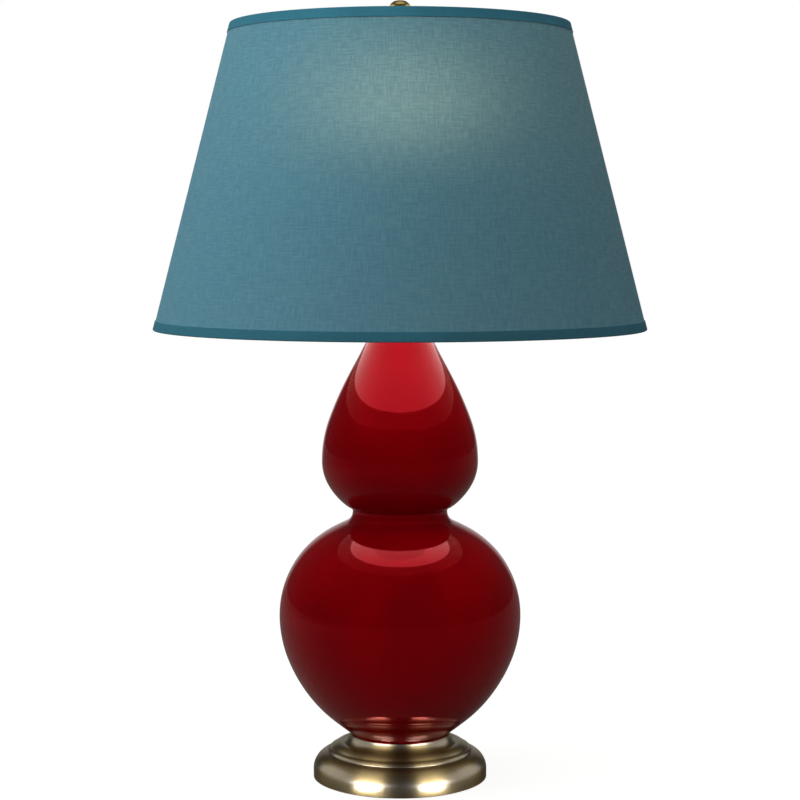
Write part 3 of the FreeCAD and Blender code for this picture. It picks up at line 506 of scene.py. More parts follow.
def ring_place(tree: Tree, size: float) -> Socket:
    """Coordinates that are the same all round the axis: distance from it and height, in cells."""
    east, north, height = axes(tree)
    flat = add_node(tree, "CombineXYZ", sockets={0: east, 1: north})
    radius = add_node(tree, "VectorMath", {"operation": "LENGTH"}, {0: flat.outputs[0]})
    both = add_node(tree, "CombineXYZ", sockets={0: radius.outputs["Value"], 2: height})
    cell = 1 / (size * MM)
    return add_node(tree, "Mapping", sockets={
        "Vector": both.outputs[0], "Scale": (cell, 1.0, cell),
    }).outputs[0]


def noise(tree: Tree, vector: Socket, detail: float) -> Socket:
    """A noise value over these coordinates."""
    sockets = {"Vector": vector, "Scale": 1.0, "Detail": detail}
    return add_node(tree, "TexNoise", sockets=sockets).outputs[0]


def grain(tree: Tree, size: float, detail: float) -> Socket:
    """A noise value in round cells of this size in millimetres."""
    return noise(tree, placed(tree, (size, size, size)), detail)


def ramp(
    tree: Tree, value: Socket, low: float, high: float, start: float = 0.0, end: float = 1.0,
) -> Socket:
    """Stretch a value's range from low..high to start..end."""
    return add_node(tree, "MapRange", {"interpolation_type": "SMOOTHSTEP"}, {
        "Value": value, "From Min": low, "From Max": high, "To Min": start, "To Max": end,
    }).outputs[0]


def mixed(tree: Tree, share: Socket | float, first: Socket | str, second: Socket | str) -> Socket:
    """Mix two colours, each a socket or a hex value."""
    sockets = {0: share, 6: first, 7: second}
    return add_node(tree, "Mix", {"data_type": "RGBA"}, sockets).outputs[2]


def stained(
    tree: Tree, ground: Socket | str, colour: str, value: Socket, low: float, high: float,
    share: float,
) -> Socket:
    """Lay a colour over a ground, from none to this share as the value runs from low to high."""
    return mixed(tree, ramp(tree, value, low, high, 0.0, share), ground, colour)


def bump(tree: Tree, height: Socket, depth: float) -> Socket:
    """A bump this many millimetres deep."""
    sockets = {"Height": height, "Strength": 1.0, "Distance": depth * MM}
    return add_node(tree, "Bump", sockets=sockets).outputs[0]


def let_through(tree: Tree, share: float, front: Socket, colour: Socket) -> Socket:
    """Let this share of the light from behind through a sheet, spread wide by its fibres."""
    glow = add_node(tree, "BsdfRefraction", sockets={"Color": colour, "Roughness": 0.84, "IOR": 1.5})
    both = add_node(tree, "MixShader", sockets={0: share, 1: front, 2: glow.outputs[0]})
    return both.outputs[0]


# ---------------------------------------------------------------- finishes


@dataclass(frozen=True)
class Finish:
    """What every finish has: its name and the Principled values that are the same all over it."""

    title: str
    colour: str
    roughness: float = 0.5
    metallic: float = 0.0
    fixed: tuple[tuple[str, object], ...] = ()

    def material(self) -> bpy.types.Material:
        """Make the material, with its detail."""
        made = bpy.data.materials.new(self.title)
        made.diffuse_color = linear(self.colour)
        tree = blank_tree(made)
        shader = add_node(tree, "BsdfPrincipled", sockets={
            "Base Color": self.colour, "Roughness": self.roughness, "Metallic": self.metallic,
            **dict(self.fixed),
        })
        add_node(tree, "OutputMaterial", sockets={"Surface": self.detail(tree, shader)})
        return made

    def gloss(self, tree: Tree, value: Socket, least: float, most: float) -> Socket:
        """Let the roughness follow a value, between these shares of its own."""
        rough = self.roughness
        return ramp(tree, value, 0.3, 0.75, rough * least, min(1.0, rough * most))

    def detail(self, tree: Tree, shader: Node) -> Socket:
        """Add what varies over the surface, and return the shader to show."""
        return shader.outputs[0]


@dataclass(frozen=True)
class TurnedBrass(Finish):
    """Brass that was spun or turned, then brushed round its axis and lacquered.

    The brush marks run round the piece, so a lamp's highlight is drawn out across them into an
    upright band, and the antiquing stays brown in the creases.
    """

    dark: str = "#4f3f1e"
    mark: float = 0.5
    depth: float = 0.004
    creases: tuple[Point, ...] = ()

    def detail(self, tree: Tree, shader: Node) -> Socket:
        """Add brush marks, mottling and the dark creases."""
        marks = noise(tree, ring_place(tree, self.mark), 2.0)
        patches = grain(tree, 22.0, 3.0)
        shade = stained(tree, self.colour, self.dark, patches, 0.35, 0.75, 0.3)
        shade = stained(tree, shade, self.dark, marks, 0.35, 0.7, 0.16)
        height = axes(tree)[2]
        for level, width in self.creases:
            apart = maths(tree, "ABSOLUTE", maths(tree, "SUBTRACT", height, level * MM))
            near = ramp(tree, apart, 0.0, width * MM, 0.85, 0.0)
            shade = mixed(tree, near, shade, self.dark)
        tangent = add_node(tree, "Tangent", {"direction_type": "RADIAL", "axis": "Z"})
        return feed(tree, shader, {
            "Base Color": shade, "Roughness": self.gloss(tree, marks, 0.85, 1.2),
            "Normal": bump(tree, marks, self.depth), "Tangent": tangent.outputs[0],
        })


@dataclass(frozen=True)
class DrawnMetal(Finish):
    """Drawn, plated or rolled metal: fine scratches along the way it was drawn, faintly cloudy."""

    dark: str = "#303030"
    scratch: tuple[float, float, float] = (2.0, 2.0, 2.0)
    depth: float = 0.003

    def detail(self, tree: Tree, shader: Node) -> Socket:
        """Add scratches and clouding."""
        fine = noise(tree, placed(tree, self.scratch), 4.0)
        cloud = grain(tree, 9.0, 2.0)
        return feed(tree, shader, {
            "Base Color": stained(tree, self.colour, self.dark, cloud, 0.35, 0.75, 0.28),
            "Roughness": self.gloss(tree, fine, 0.8, 1.3),
            "Normal": bump(tree, fine, self.depth),
        })


@dataclass(frozen=True)
class OxbloodGlaze(Finish):
    """Copper-red glaze fired over a slip-cast body.

    It is a deep glassy coat: mirror-smooth with a faint ripple, tinted in its reflection, and a
    little darker where it ran thick.
    """

    thick: str = "#480006"

    def detail(self, tree: Tree, shader: Node) -> Socket:
        """Add the run of the glaze, its flecks and its ripple."""
        run = noise(tree, placed(tree, (60, 60, 130)), 2.0)
        fleck, ripple = grain(tree, 1.6, 2.0), grain(tree, 34.0, 1.0)
        shade = stained(tree, self.colour, self.thick, run, 0.3, 0.75, 0.35)
        shade = stained(tree, shade, self.thick, fleck, 0.5, 0.8, 0.18)
        return feed(tree, shader, {"Base Color": shade, "Normal": bump(tree, ripple, 0.05)})


@dataclass(frozen=True)
class SlubCloth(Finish):
    """Plain-woven linen blend on a stiff backing.

    Its threads are 0.5 mm apart, too fine to show, so they are drawn 1.6 mm apart and faint. What
    the eye sees is their uneven places: short paler and darker dashes along and across the cloth,
    much clearer in the light that comes through it than in the light that falls on it.
    """

    light: str = "#558da5"
    dark: str = "#284754"
    drift: str = "#3f707e"
    gap: str = "#b9d3c5"
    gap_light: str = "#e9fff3"
    gap_dark: str = "#6c7c73"
    thread: float = 1.6
    slub: tuple[float, float] = (13.0, 1.6)
    contrast: float = 0.06
    through: float = 0.27
    depth: float = 0.05

    def threads(self, tree: Tree, length: float, width: float) -> list[Socket]:
        """Noise drawn out along the weft and along the warp, in cells of this length and width."""
        ways = ((length, width), (width, length))
        return [noise(tree, placed(tree, (*way, 1000.0), "UV"), 1.0) for way in ways]

    def slubs(self, tree: Tree, low: float, high: float) -> Socket:
        """The uneven places of both thread systems, where their noise passes from low to high."""
        systems = self.threads(tree, *self.slub)
        return maths(tree, "MAXIMUM", *(ramp(tree, system, low, high) for system in systems))

    def marked(
        self, tree: Tree, ground: Socket | str, marks: Sequence[Socket], colours: Sequence[str],
        share: float,
    ) -> Socket:
        """Lay the pale and the dark dashes over a ground colour, each up to this share."""
        for mark, colour, weight in zip(marks, colours, (1.0, 0.7)):
            ground = mixed(tree, maths(tree, "MULTIPLY", mark, share * weight), ground, colour)
        return ground

    def detail(self, tree: Tree, shader: Node) -> Socket:
        """Add threads, slubs, the drift of the dye and the light that comes through."""
        marks = [self.slubs(tree, 0.53, 0.66), self.slubs(tree, 0.45, 0.33)]
        weave = maths(tree, "ADD", *self.threads(tree, self.thread * 5, self.thread))
        cloud = noise(tree, placed(tree, (60.0, 60.0, 1000.0), "UV"), 2.0)
        dyed = stained(tree, self.colour, self.drift, cloud, 0.4, 0.7, 0.4)
        between = ramp(tree, weave, 0.8, 1.0, self.contrast * 0.5, 0.0)
        dyed = mixed(tree, between, dyed, self.dark)
        front = feed(tree, shader, {
            "Base Color": self.marked(tree, dyed, marks, (self.light, self.dark), self.contrast),
            "Normal": bump(tree, weave, self.depth),
        })
        if not self.through:
            return front
        pair = (self.gap_light, self.gap_dark)
        passed = self.marked(tree, self.gap, marks, pair, self.contrast * 6)
        return let_through(tree, self.through, front, passed)


@dataclass(frozen=True)
class LinerSheet(Finish):
    """White translucent sheet that the cloth is bonded to, with a faint calendered haze."""

    hazy: str = "#e4e2d8"
    through: float = 0.24

    def detail(self, tree: Tree, shader: Node) -> Socket:
        """Add the haze and the light that comes through."""
        haze = grain(tree, 0.8, 2.0)
        shade = stained(tree, self.colour, self.hazy, haze, 0.3, 0.7, 1.0)
        front = feed(tree, shader, {"Base Color": shade, "Normal": bump(tree, haze, 0.02)})
        return let_through(tree, self.through, front, shade)


@dataclass(frozen=True)
class Grained(Finish):
    """Matt stuff with a grain of its own: felt, cast iron, moulded plastic, card or rubber."""

    other: str = "#000000"
    cell: float = 1.0
    share: float = 0.5
    depth: float = 0.05

    def detail(self, tree: Tree, shader: Node) -> Socket:
        """Add the grain to the colour, gloss and relief."""
        coarse = grain(tree, self.cell, 5.0)
        return feed(tree, shader, {
            "Base Color": stained(tree, self.colour, self.other, coarse, 0.35, 0.7, self.share),
            "Roughness": self.gloss(tree, coarse, 0.85, 1.1),
            "Normal": bump(tree, coarse, self.depth),
        })


@dataclass(frozen=True)
class LitOpal(Finish):
    """Glass with a white coat inside, lit from within: brightest on top, warm at its neck."""

    neck_light: str = "#ffe2b4"
    top_light: str = "#fff3df"
    strength: float = 0.62

    def detail(self, tree: Tree, shader: Node) -> Socket:
        """Add the light and its falling off towards the neck."""
        height = axes(tree)[2]
        share = ramp(tree, height, 0.57, 0.62)
        return feed(tree, shader, {
            "Emission Color": mixed(tree, share, self.neck_light, self.top_light),
            "Emission Strength": ramp(tree, height, 0.57, 0.64, self.strength * 0.5, self.strength),
            "Normal": bump(tree, grain(tree, 0.7, 2.0), 0.01),
        })


def brushed(amount: float) -> tuple[tuple[str, float], ...]:
    """The stretched highlight of brush marks that run round the axis."""
    return (("Anisotropic", amount), ("Anisotropic Rotation", 0.25))


# the foot's groove, bead, step and collar seat: their heights, and how far the antiquing reaches
FOOT_CREASES = ((26.4, 3.6), (31.0, 1.4), (36.4, 4.2), (44.0, 0.6))

LACQUER = (("Specular Tint", "#d8c187"), ("Coat Weight", 0.9), ("Coat Roughness", 0.28),
           ("Coat IOR", 1.65))
GLASSY = (("IOR", 1.9), ("Specular IOR Level", 0.62), ("Specular Tint", "#ff3340"))

FINISHES: dict[Slot, Finish] = {
    Slot.ANTIQUE_BRASS: TurnedBrass(
        "spun_antique_brass", "#776847", 0.43, 1.0, (*brushed(0.9), *LACQUER), dark="#4a3c1c",
        creases=FOOT_CREASES,
    ),
    Slot.HARP_BRASS: DrawnMetal(
        "plated_brass_wire", "#c9a85c", 0.24, 1.0, dark="#8a6c30", scratch=(0.6, 0.6, 6.0),
    ),
    Slot.HOLDER_BRASS: TurnedBrass(
        "pressed_bright_brass", "#d9b968", 0.2, 1.0, brushed(0.4), dark="#9a7a3a", depth=0.002,
    ),
    Slot.RED_GLAZE: OxbloodGlaze("oxblood_glaze", "#800007", 0.04, 0.0, GLASSY),
    Slot.TEAL_CLOTH: SlubCloth(
        "woven_shade_cloth", "#3f6c7e", 0.9, 0.0, (("Specular IOR Level", 0.1),),
    ),
    Slot.TEAL_TRIM: SlubCloth(
        "folded_trim_tape", "#215260", 0.8, 0.0, (("Specular IOR Level", 0.05),),
        light="#33748a", dark="#194350", drift="#285e6e", contrast=0.08, through=0.0,
    ),
    Slot.WHITE_LINER: LinerSheet("white_liner_sheet", "#f1f0ea", 0.45),
    Slot.OPAL_GLASS: LitOpal("opal_glass_lit", "#fbf8f0", 0.12),
    Slot.FELT: Grained(
        "pressed_wool_felt", "#26302b", 0.98, other="#3b463f", cell=0.9, depth=0.25,
    ),
    Slot.CAST_IRON: Grained(
        "cast_iron_black_wash", "#2b2a28", 0.62, other="#46423c", cell=1.4, depth=0.18,
    ),
    Slot.BLACK_PLASTIC: Grained(
        "moulded_black_plastic", "#17171a", 0.42, other="#222226", cell=0.5, depth=0.015,
    ),
    Slot.RUBBER: Grained(
        "cut_rubber_sheet", "#1b1b1b", 0.8, other="#2a2a28", cell=0.6, depth=0.03,
    ),
    Slot.CARD: Grained("vulcanised_card", "#c3b496", 0.85, other="#a89878", cell=0.8, depth=0.03),
    Slot.WHITE_WIRE: Grained(
        "white_powder_coat", "#e9e8e2", 0.4, other="#d6d4cc", cell=0.5, depth=0.02,
    ),
    Slot.ZINC_STEEL: DrawnMetal(
        "zinc_plated_steel", "#b9bab6", 0.36, 1.0, dark="#84867f", scratch=(1.2, 1.2, 1.2),
    ),
    Slot.ALUMINIUM: DrawnMetal(
        "rolled_aluminium", "#c9cacb", 0.28, 1.0, dark="#98999b", scratch=(4.0, 4.0, 0.5),
    ),
}

FINIAL_FINISH = TurnedBrass(
    "turned_finial_brass", "#b39a55", 0.36, 1.0, brushed(0.3), dark="#6a5626", mark=0.35,
    creases=((738.0, 0.6),),
)


@cache
def material_of(finish: Finish) -> bpy.types.Material:
    """The material of a finish, made when it is first asked for."""
    return finish.material()


# ---------------------------------------------------------------- sub-assemblies


class SubAssembly:
    """Hands pieces and CAD nodes over to the frame with their bodies, slots and finishes."""

    def hand_over(
        self, piece: Piece, body: Body, slot: Slot, node: str, finish: Finish | None = None,
    ) -> Piece:
        """Finish a new piece and let it ride on its body.

        Args:
            piece: The piece, in place.
            body: The body that it moves with.
            slot: The record's slot of its finish.
            node: The CAD node that it stands for.
            finish: Its finish where that isn't the slot's own.

        Returns:
            The piece.
        """
        faces = piece.data.polygons
        piece.data.materials.clear()
        piece.data.materials.append(material_of(finish or FINISHES[slot]))
        faces.foreach_set("material_index", [0] * len(faces))
        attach(piece, body.value)
        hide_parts(node)
        LOG.info("%s: %d faces on %s", piece.name, len(faces), body.value)
        return piece

    def dress(self, **slots: Slot) -> None:
        """Give each CAD node that is named here its slot's finish."""
        for node, slot in slots.items():
            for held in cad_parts[node].material_slots:
                held.material = material_of(FINISHES[slot])
            LOG.info("%s: dressed", node)


@dataclass
class Foot(SubAssembly):
    """Spun brass foot with its felt, cast weight, clamping nut and cord bushing."""

    radius: float = 86.5
    lift: float = 1.0
    wall: float = 1.6
    spring: float = 9.0
    groove: float = 71.2
    dome_top: float = 26.0
    bead: float = 71.8
    bead_low: float = 26.9
    bead_top: float = 30.6
    step: float = 67.2
    step_top: float = 31.1
    cove: float = 56.0
    cove_top: float = 35.4
    collar: float = 49.5
    collar_inside: float = 48.2
    collar_top: float = 44.0
    seat: float = 40.4
    felt_radius: float = 84.6
    felt_thickness: float = 2.0
    inlet: float = 3.6
    inlet_hole: float = 5.0
    inlet_height: float = 8.5
    bushing_wall: float = 1.35
    bushing_inner: float = 78.6
    bushing_flange: float = 86.6

    def shell(self) -> Piece:
        """Turn the shell: dome, groove, bead, step, cove and collar, with the cord's hole."""
        wall, inside, seat = self.wall, self.collar_inside, self.seat
        piece = turned("foot_shell", [
            (self.radius, self.lift),
            (self.radius, self.spring, 0.1805),
            (self.groove + 1.2, self.dome_top),
            (self.groove, self.dome_top + 0.3),
            (self.bead, self.bead_low, 0.17),
            (self.step + 0.6, self.bead_top),
            (self.step, self.step_top, 0.12),
            (self.cove, self.cove_top, -0.13),
            (self.collar, self.collar_top), (inside, self.collar_top),
            (inside, seat), (PIPE_HOLE, seat), (PIPE_HOLE, seat - wall), (inside, seat - wall),
            (self.cove - wall, self.cove_top - wall, -0.08),
            (self.step - wall, self.step_top - wall),
            (self.groove - wall, self.dome_top - wall, -0.206),
            (self.radius - wall, self.spring),
            (self.radius - wall, self.lift),
        ], 14, 192)
        height = self.inlet_height
        cut(piece, rod("inlet_cutter", self.inlet_hole, (0, 60, height), (0, 95, height)))
        return ease(piece, 0.35, 3)

    def felt(self) -> Piece:
        """Felt disc with an edge that is pressed round."""
        edge, top = self.felt_radius, self.felt_thickness
        return smooth(turned("felt_disc", [
            (0, 0), (edge - 0.5, 0, 0.2), (edge, 0.6), (edge, top - 0.5, 0.2), (edge - 0.5, top),
            (0, top),
        ], 4, 128), 50.0)

    def bushing(self) -> Piece:
        """Moulded bushing in the inlet, with a rounded flange, laid towards the rear."""
        bore, inner, flange = self.inlet, self.bushing_inner, self.bushing_flange
        barrel = bore + self.bushing_wall
        piece = turned("cord_bushing", [
            (bore + 0.5, inner), (barrel, inner), (barrel, flange), (barrel + 2.2, flange),
            (barrel + 2.2, flange + 0.7, 0.25), (barrel + 1.2, flange + 1.6),
            (bore + 0.9, flange + 1.6, 0.2), (bore, flange + 0.7), (bore, inner + 0.5),
        ], 5, 64)
        return smooth(laid(piece, self.inlet_height, -math.pi / 2), 40.0)

    def build(self) -> None:
        """Make the foot's pieces and dress its hidden parts."""
        self.hand_over(self.shell(), Body.STAND, Slot.ANTIQUE_BRASS, "base_shell")
        self.hand_over(self.felt(), Body.STAND, Slot.FELT, "felt_pad")
        self.hand_over(self.bushing(), Body.STAND, Slot.BLACK_PLASTIC, "cord_grommet")
        nut = ease(merged_copy("bottom_nut", "clamp_nut"), 0.5, 2, 40.0)
        self.hand_over(nut, Body.STAND, Slot.ZINC_STEEL, "bottom_nut")
        self.dress(
            base_weight=Slot.CAST_IRON, bottom_washer=Slot.ZINC_STEEL, lamp_pipe=Slot.ZINC_STEEL,
            base_gasket=Slot.RUBBER,
        )


@dataclass
class Gourd(SubAssembly):
    """Slip-cast double gourd: its outline is a line of tangent arcs through these stations."""

    bottom: float = 42.0
    floor: float = 48.0
    floor_flare: float = 0.8
    top: float = 462.0
    wall: float = 5.0
    stations: tuple[Station, ...] = (
        Station(47.9, 44.6, 53.5),
        Station(88.6, 81.0, 38.8),
        Station(119.9, 163.9),
        Station(103.9, 217.7, -33.1),
        Station(67.9, 250.2, -61.8),
        Station(46.9, 267.8),
        Station(54.0, 274.3, 52.0),
        Station(77.4, 318.1),
        Station(52.4, 399.7, -27.4),
        Station(35.5, 431.6, -26.6),
        Station(24.5, 456.0),
    )

    def body(self) -> Piece:
        """Spin the glazed body with its hollow inside."""
        first, last = self.stations[0], self.stations[-1]
        inside = flow([station.inset(self.wall) for station in self.stations], 4)
        lowest = first.inset(self.wall)
        floor_edge = lowest.across - (lowest.up - self.floor) * self.floor_flare
        line = [
            (PIPE_HOLE, self.bottom), (first.across, self.bottom), *flow(self.stations, 12),
            (last.across, self.top), (inside[-1][0], self.top), *reversed(inside),
            (floor_edge, self.floor), (PIPE_HOLE, self.floor), (PIPE_HOLE, self.bottom),
        ]
        return smooth(lathe("glazed_gourd", line, 224), 40.0)

    def build(self) -> None:
        """Make the body."""
        self.hand_over(self.body(), Body.STAND, Slot.RED_GLAZE, "ceramic_body")


@dataclass
class NeckAndCap(SubAssembly):
    """Brass cap on the gourd's mouth and the turned neck that carries the lamp holder."""

    cap_bottom: float = 463.5
    cap_top: float = 471.0
    cap_radius: float = 27.5
    cap_wall: float = 26.9
    cap_inside: float = 24.8
    skirt: float = 6.5
    tube: float = 8.0
    tube_top: float = 505.0

    def cap(self) -> Piece:
        """Cap with a rolled lip and a turned step round its land."""
        bottom, top, wall, inside = self.cap_bottom, self.cap_top, self.cap_wall, self.cap_inside
        low = bottom - self.skirt
        return ease(turned("gourd_cap", [
            (PIPE_HOLE, bottom), (inside, bottom), (inside, low), (wall - 0.3, low, 0.3),
            (self.cap_radius, low + 1.4, 0.3), (wall, low + 2.8), (wall, bottom - 0.6, 0.2),
            (13.5, top - 1.6), (12.5, top - 1.5, 0.25), (10.5, top), (PIPE_HOLE, top),
        ], 8, 128), 0.25)

    def neck(self) -> Piece:
        """Neck tube with a round bead between two fillets."""
        low, high, tube, fillet = self.cap_top, self.tube_top, self.tube, self.tube + 0.6
        middle = (low + high) / 2
        return ease(turned("neck_column", [
            (PIPE_HOLE, low), (tube, low), (tube, middle - 4.0), (fillet, middle - 4.0),
            (fillet, middle - 2.4, 0.4), (fillet, middle + 2.4), (fillet, middle + 4.0),
            (tube, middle + 4.0), (tube, high), (PIPE_HOLE, high),
        ], 10, 96), 0.2)

    def build(self) -> None:
        """Make the cap, the neck and the saddle."""
        self.hand_over(self.cap(), Body.STAND, Slot.ANTIQUE_BRASS, "vase_cap")
        self.hand_over(self.neck(), Body.STAND, Slot.ANTIQUE_BRASS, "neck_tube")
        saddle = ease(merged_copy("harp_saddle", "saddle_strap"), 0.3, 2, 30.0)
        self.hand_over(saddle, Body.STAND, Slot.HARP_BRASS, "harp_saddle")
        self.dress(neck_gasket=Slot.RUBBER)


@dataclass
class LampHolder(SubAssembly):
    """Pressed brass lamp holder with its moulded core, and the turn knob at the front."""

    floor: float = 507.0
    cap_radius: float = 17.8
    cap_height: float = 17.0
    wall: float = 0.8
    thread_bore: float = 4.95
    hub_radius: float = 8.2
    hub_height: float = 7.8
    shell_radius: float = 16.7
    shell_low: float = 511.0
    shell_high: float = 573.0
    ring_levels: tuple[float, float] = (544.0, 548.5)
    switch_height: float = 529.0
    spindle_hole: float = 2.8
    knob_bore: float = 2.55
    knob_bore_depth: float = 7.0
    knob_start: float = 22.8
    knob_length: float = 15.0
    knob_radius: float = 6.0
    flutes: int = 14
    flute_depth: float = 0.3

    def cup(self) -> Piece:
        """Cup with a rolled rim, and a hub that screws on the pipe."""
        low, top, side = self.floor, self.floor + self.cap_height, self.cap_radius - 0.5
        inside, floor, hub_top = self.cap_radius - self.wall, low + self.wall, low + self.hub_height
        return ease(turned("holder_cup", [
            (self.thread_bore, low), (self.cap_radius - 4, low, 0.2), (side, low + 4),
            (side, top - 3.4), (side, top - 2.6, 0.3), (self.cap_radius - 0.1, top - 0.4, 0.3),
            (inside, top), (inside, low + 4, -0.15), (inside - 3.5, floor),
            (self.hub_radius, floor), (self.hub_radius, hub_top), (self.thread_bore, hub_top),
        ], 7, 96), 0.12)

    def barrel(self) -> Piece:
        """Shell with two pressed rings, a flared lip and the hole for the switch."""
        radius, wall, low, high = self.shell_radius, self.wall, self.shell_low, self.shell_high
        rings = []
        for level in self.ring_levels:
            rings += [(radius, level - 1.2, -0.22), (radius, level + 1.2)]
        piece = turned("holder_barrel", [
            (radius - wall, low), (radius, low), *rings, (radius, high - 2.2),
            (radius, high - 0.7, 0.25), (radius - wall * 0.5, high), (radius - wall, high - 0.5),
        ], 6, 96)
        height = self.switch_height
        cut(piece, rod("spindle_cutter", self.spindle_hole, (0, -10, height), (0, -24, height)))
        return smooth(piece, 35.0)

    def knob(self) -> Piece:
        """Fluted turn knob, laid towards the front over its spindle."""
        start, end, radius = self.knob_start, self.knob_start + self.knob_length, self.knob_radius
        bore, deep, fluted = self.knob_bore, start + self.knob_bore_depth, radius * 0.7
        piece = turned("turn_knob", [
            (bore, start), (radius - 0.6, start, 0.2), (radius, start + 1.4, 0.1),
            (radius * 0.78, start + self.knob_length * 0.5, 0.1), (radius, end - 1.6, 0.25),
            (radius - 1.2, end, 0.05), (0, end), (0, deep), (bore, deep),
        ], 6, self.flutes * 6)
        for vertex in piece.data.vertices:
            reach = math.hypot(vertex.co.x, vertex.co.y) / MM
            if reach > fluted:
                angle = math.atan2(vertex.co.y, vertex.co.x)
                share = max(0.0, math.cos(self.flutes * angle)) * min(1.0, (reach - fluted) / 0.8)
                vertex.co.xy = vertex.co.xy * (1 - self.flute_depth * share / reach)
        return smooth(laid(piece, self.switch_height, math.pi / 2), 35.0)

    def build(self) -> None:
        """Make the holder and dress what it holds."""
        self.hand_over(self.cup(), Body.STAND, Slot.HOLDER_BRASS, "holder_cap")
        self.hand_over(self.barrel(), Body.STAND, Slot.HOLDER_BRASS, "holder_shell")
        self.hand_over(self.knob(), Body.SWITCH, Slot.BLACK_PLASTIC, "switch_knob")
        self.dress(
            switch_spindle=Slot.HOLDER_BRASS, pipe_bushing=Slot.BLACK_PLASTIC,
            holder_sleeve=Slot.CARD, holder_core=Slot.BLACK_PLASTIC, screw_shell=Slot.ALUMINIUM,
            centre_contact=Slot.HOLDER_BRASS, terminal_screws=Slot.HOLDER_BRASS,
        )


@dataclass
class Bulb(SubAssembly):
    """Opal bulb with a rolled screw cap."""

    neck: float = 12.7
    cap_top: float = 567.5
    shoulder: float = 24.0
    shoulder_height: float = 612.0
    widest: float = 650.0
    radius: float = 33.5
    top: float = 683.5
    middle: float = 0.6
    wall: float = 1.0
    cap_bottom: float = 542.5
    cap_radius: float = 13.1
    pitch: float = 3.6
    thread_wire: float = 0.92
    steps: int = 48

    def envelope(self) -> Piece:
        """Glass with a neck that flows into the round top."""
        outside = [
            Station(self.neck, self.cap_top), Station(self.neck + 0.4, self.cap_top + 8, 4.0),
            Station(self.shoulder, self.shoulder_height, 24.0), Station(self.radius, self.widest),
            Station(self.middle, self.top, -90.0),
        ]
        inside = [
            Station(max(self.middle, s.across - self.wall), s.up, s.slope) for s in outside[:-1]
        ]
        inside.append(Station(self.middle, self.top - self.wall, -90.0))
        line = [
            *flow(outside, 12), (0.0, self.top), (0.0, self.top - self.wall),
            *reversed(flow(inside, 5)), (self.neck, self.cap_top),
        ]
        return smooth(lathe("opal_envelope", line, 96), 60.0)

    def screw_cap(self) -> Piece:
        """Cap with a rolled thread: a wire wound up its core between the plain ends."""
        bottom, top, radius = self.cap_bottom, self.cap_top, self.cap_radius
        low, high = bottom + 3.2, top - 5.2
        core = ease(turned("cap_core", [
            (0, bottom), (4.5, bottom), (radius - 1.0, bottom + 2.4), (radius - 1.0, high - 0.5),
            (radius, high + 0.6), (radius, top), (0, top),
        ], 8, 64), 0.25)
        wound, count = radius - 0.95, int(self.steps * (high - low - 1.0) / self.pitch) + 1
        ridge = swept("cap_thread", [
            (wound * math.cos(step * FULL_TURN / self.steps),
             wound * math.sin(step * FULL_TURN / self.steps), low + self.pitch * step / self.steps)
            for step in range(count)
        ], self.thread_wire, 4)
        return joined("bulb_screw_cap", [core, smooth(ridge, 60.0)])

    def build(self) -> None:
        """Make the bulb."""
        self.hand_over(self.envelope(), Body.BULB, Slot.OPAL_GLASS, "bulb_glass")
        self.hand_over(self.screw_cap(), Body.BULB, Slot.ALUMINIUM, "bulb_cap")
        self.dress(bulb_tip=Slot.BLACK_PLASTIC)


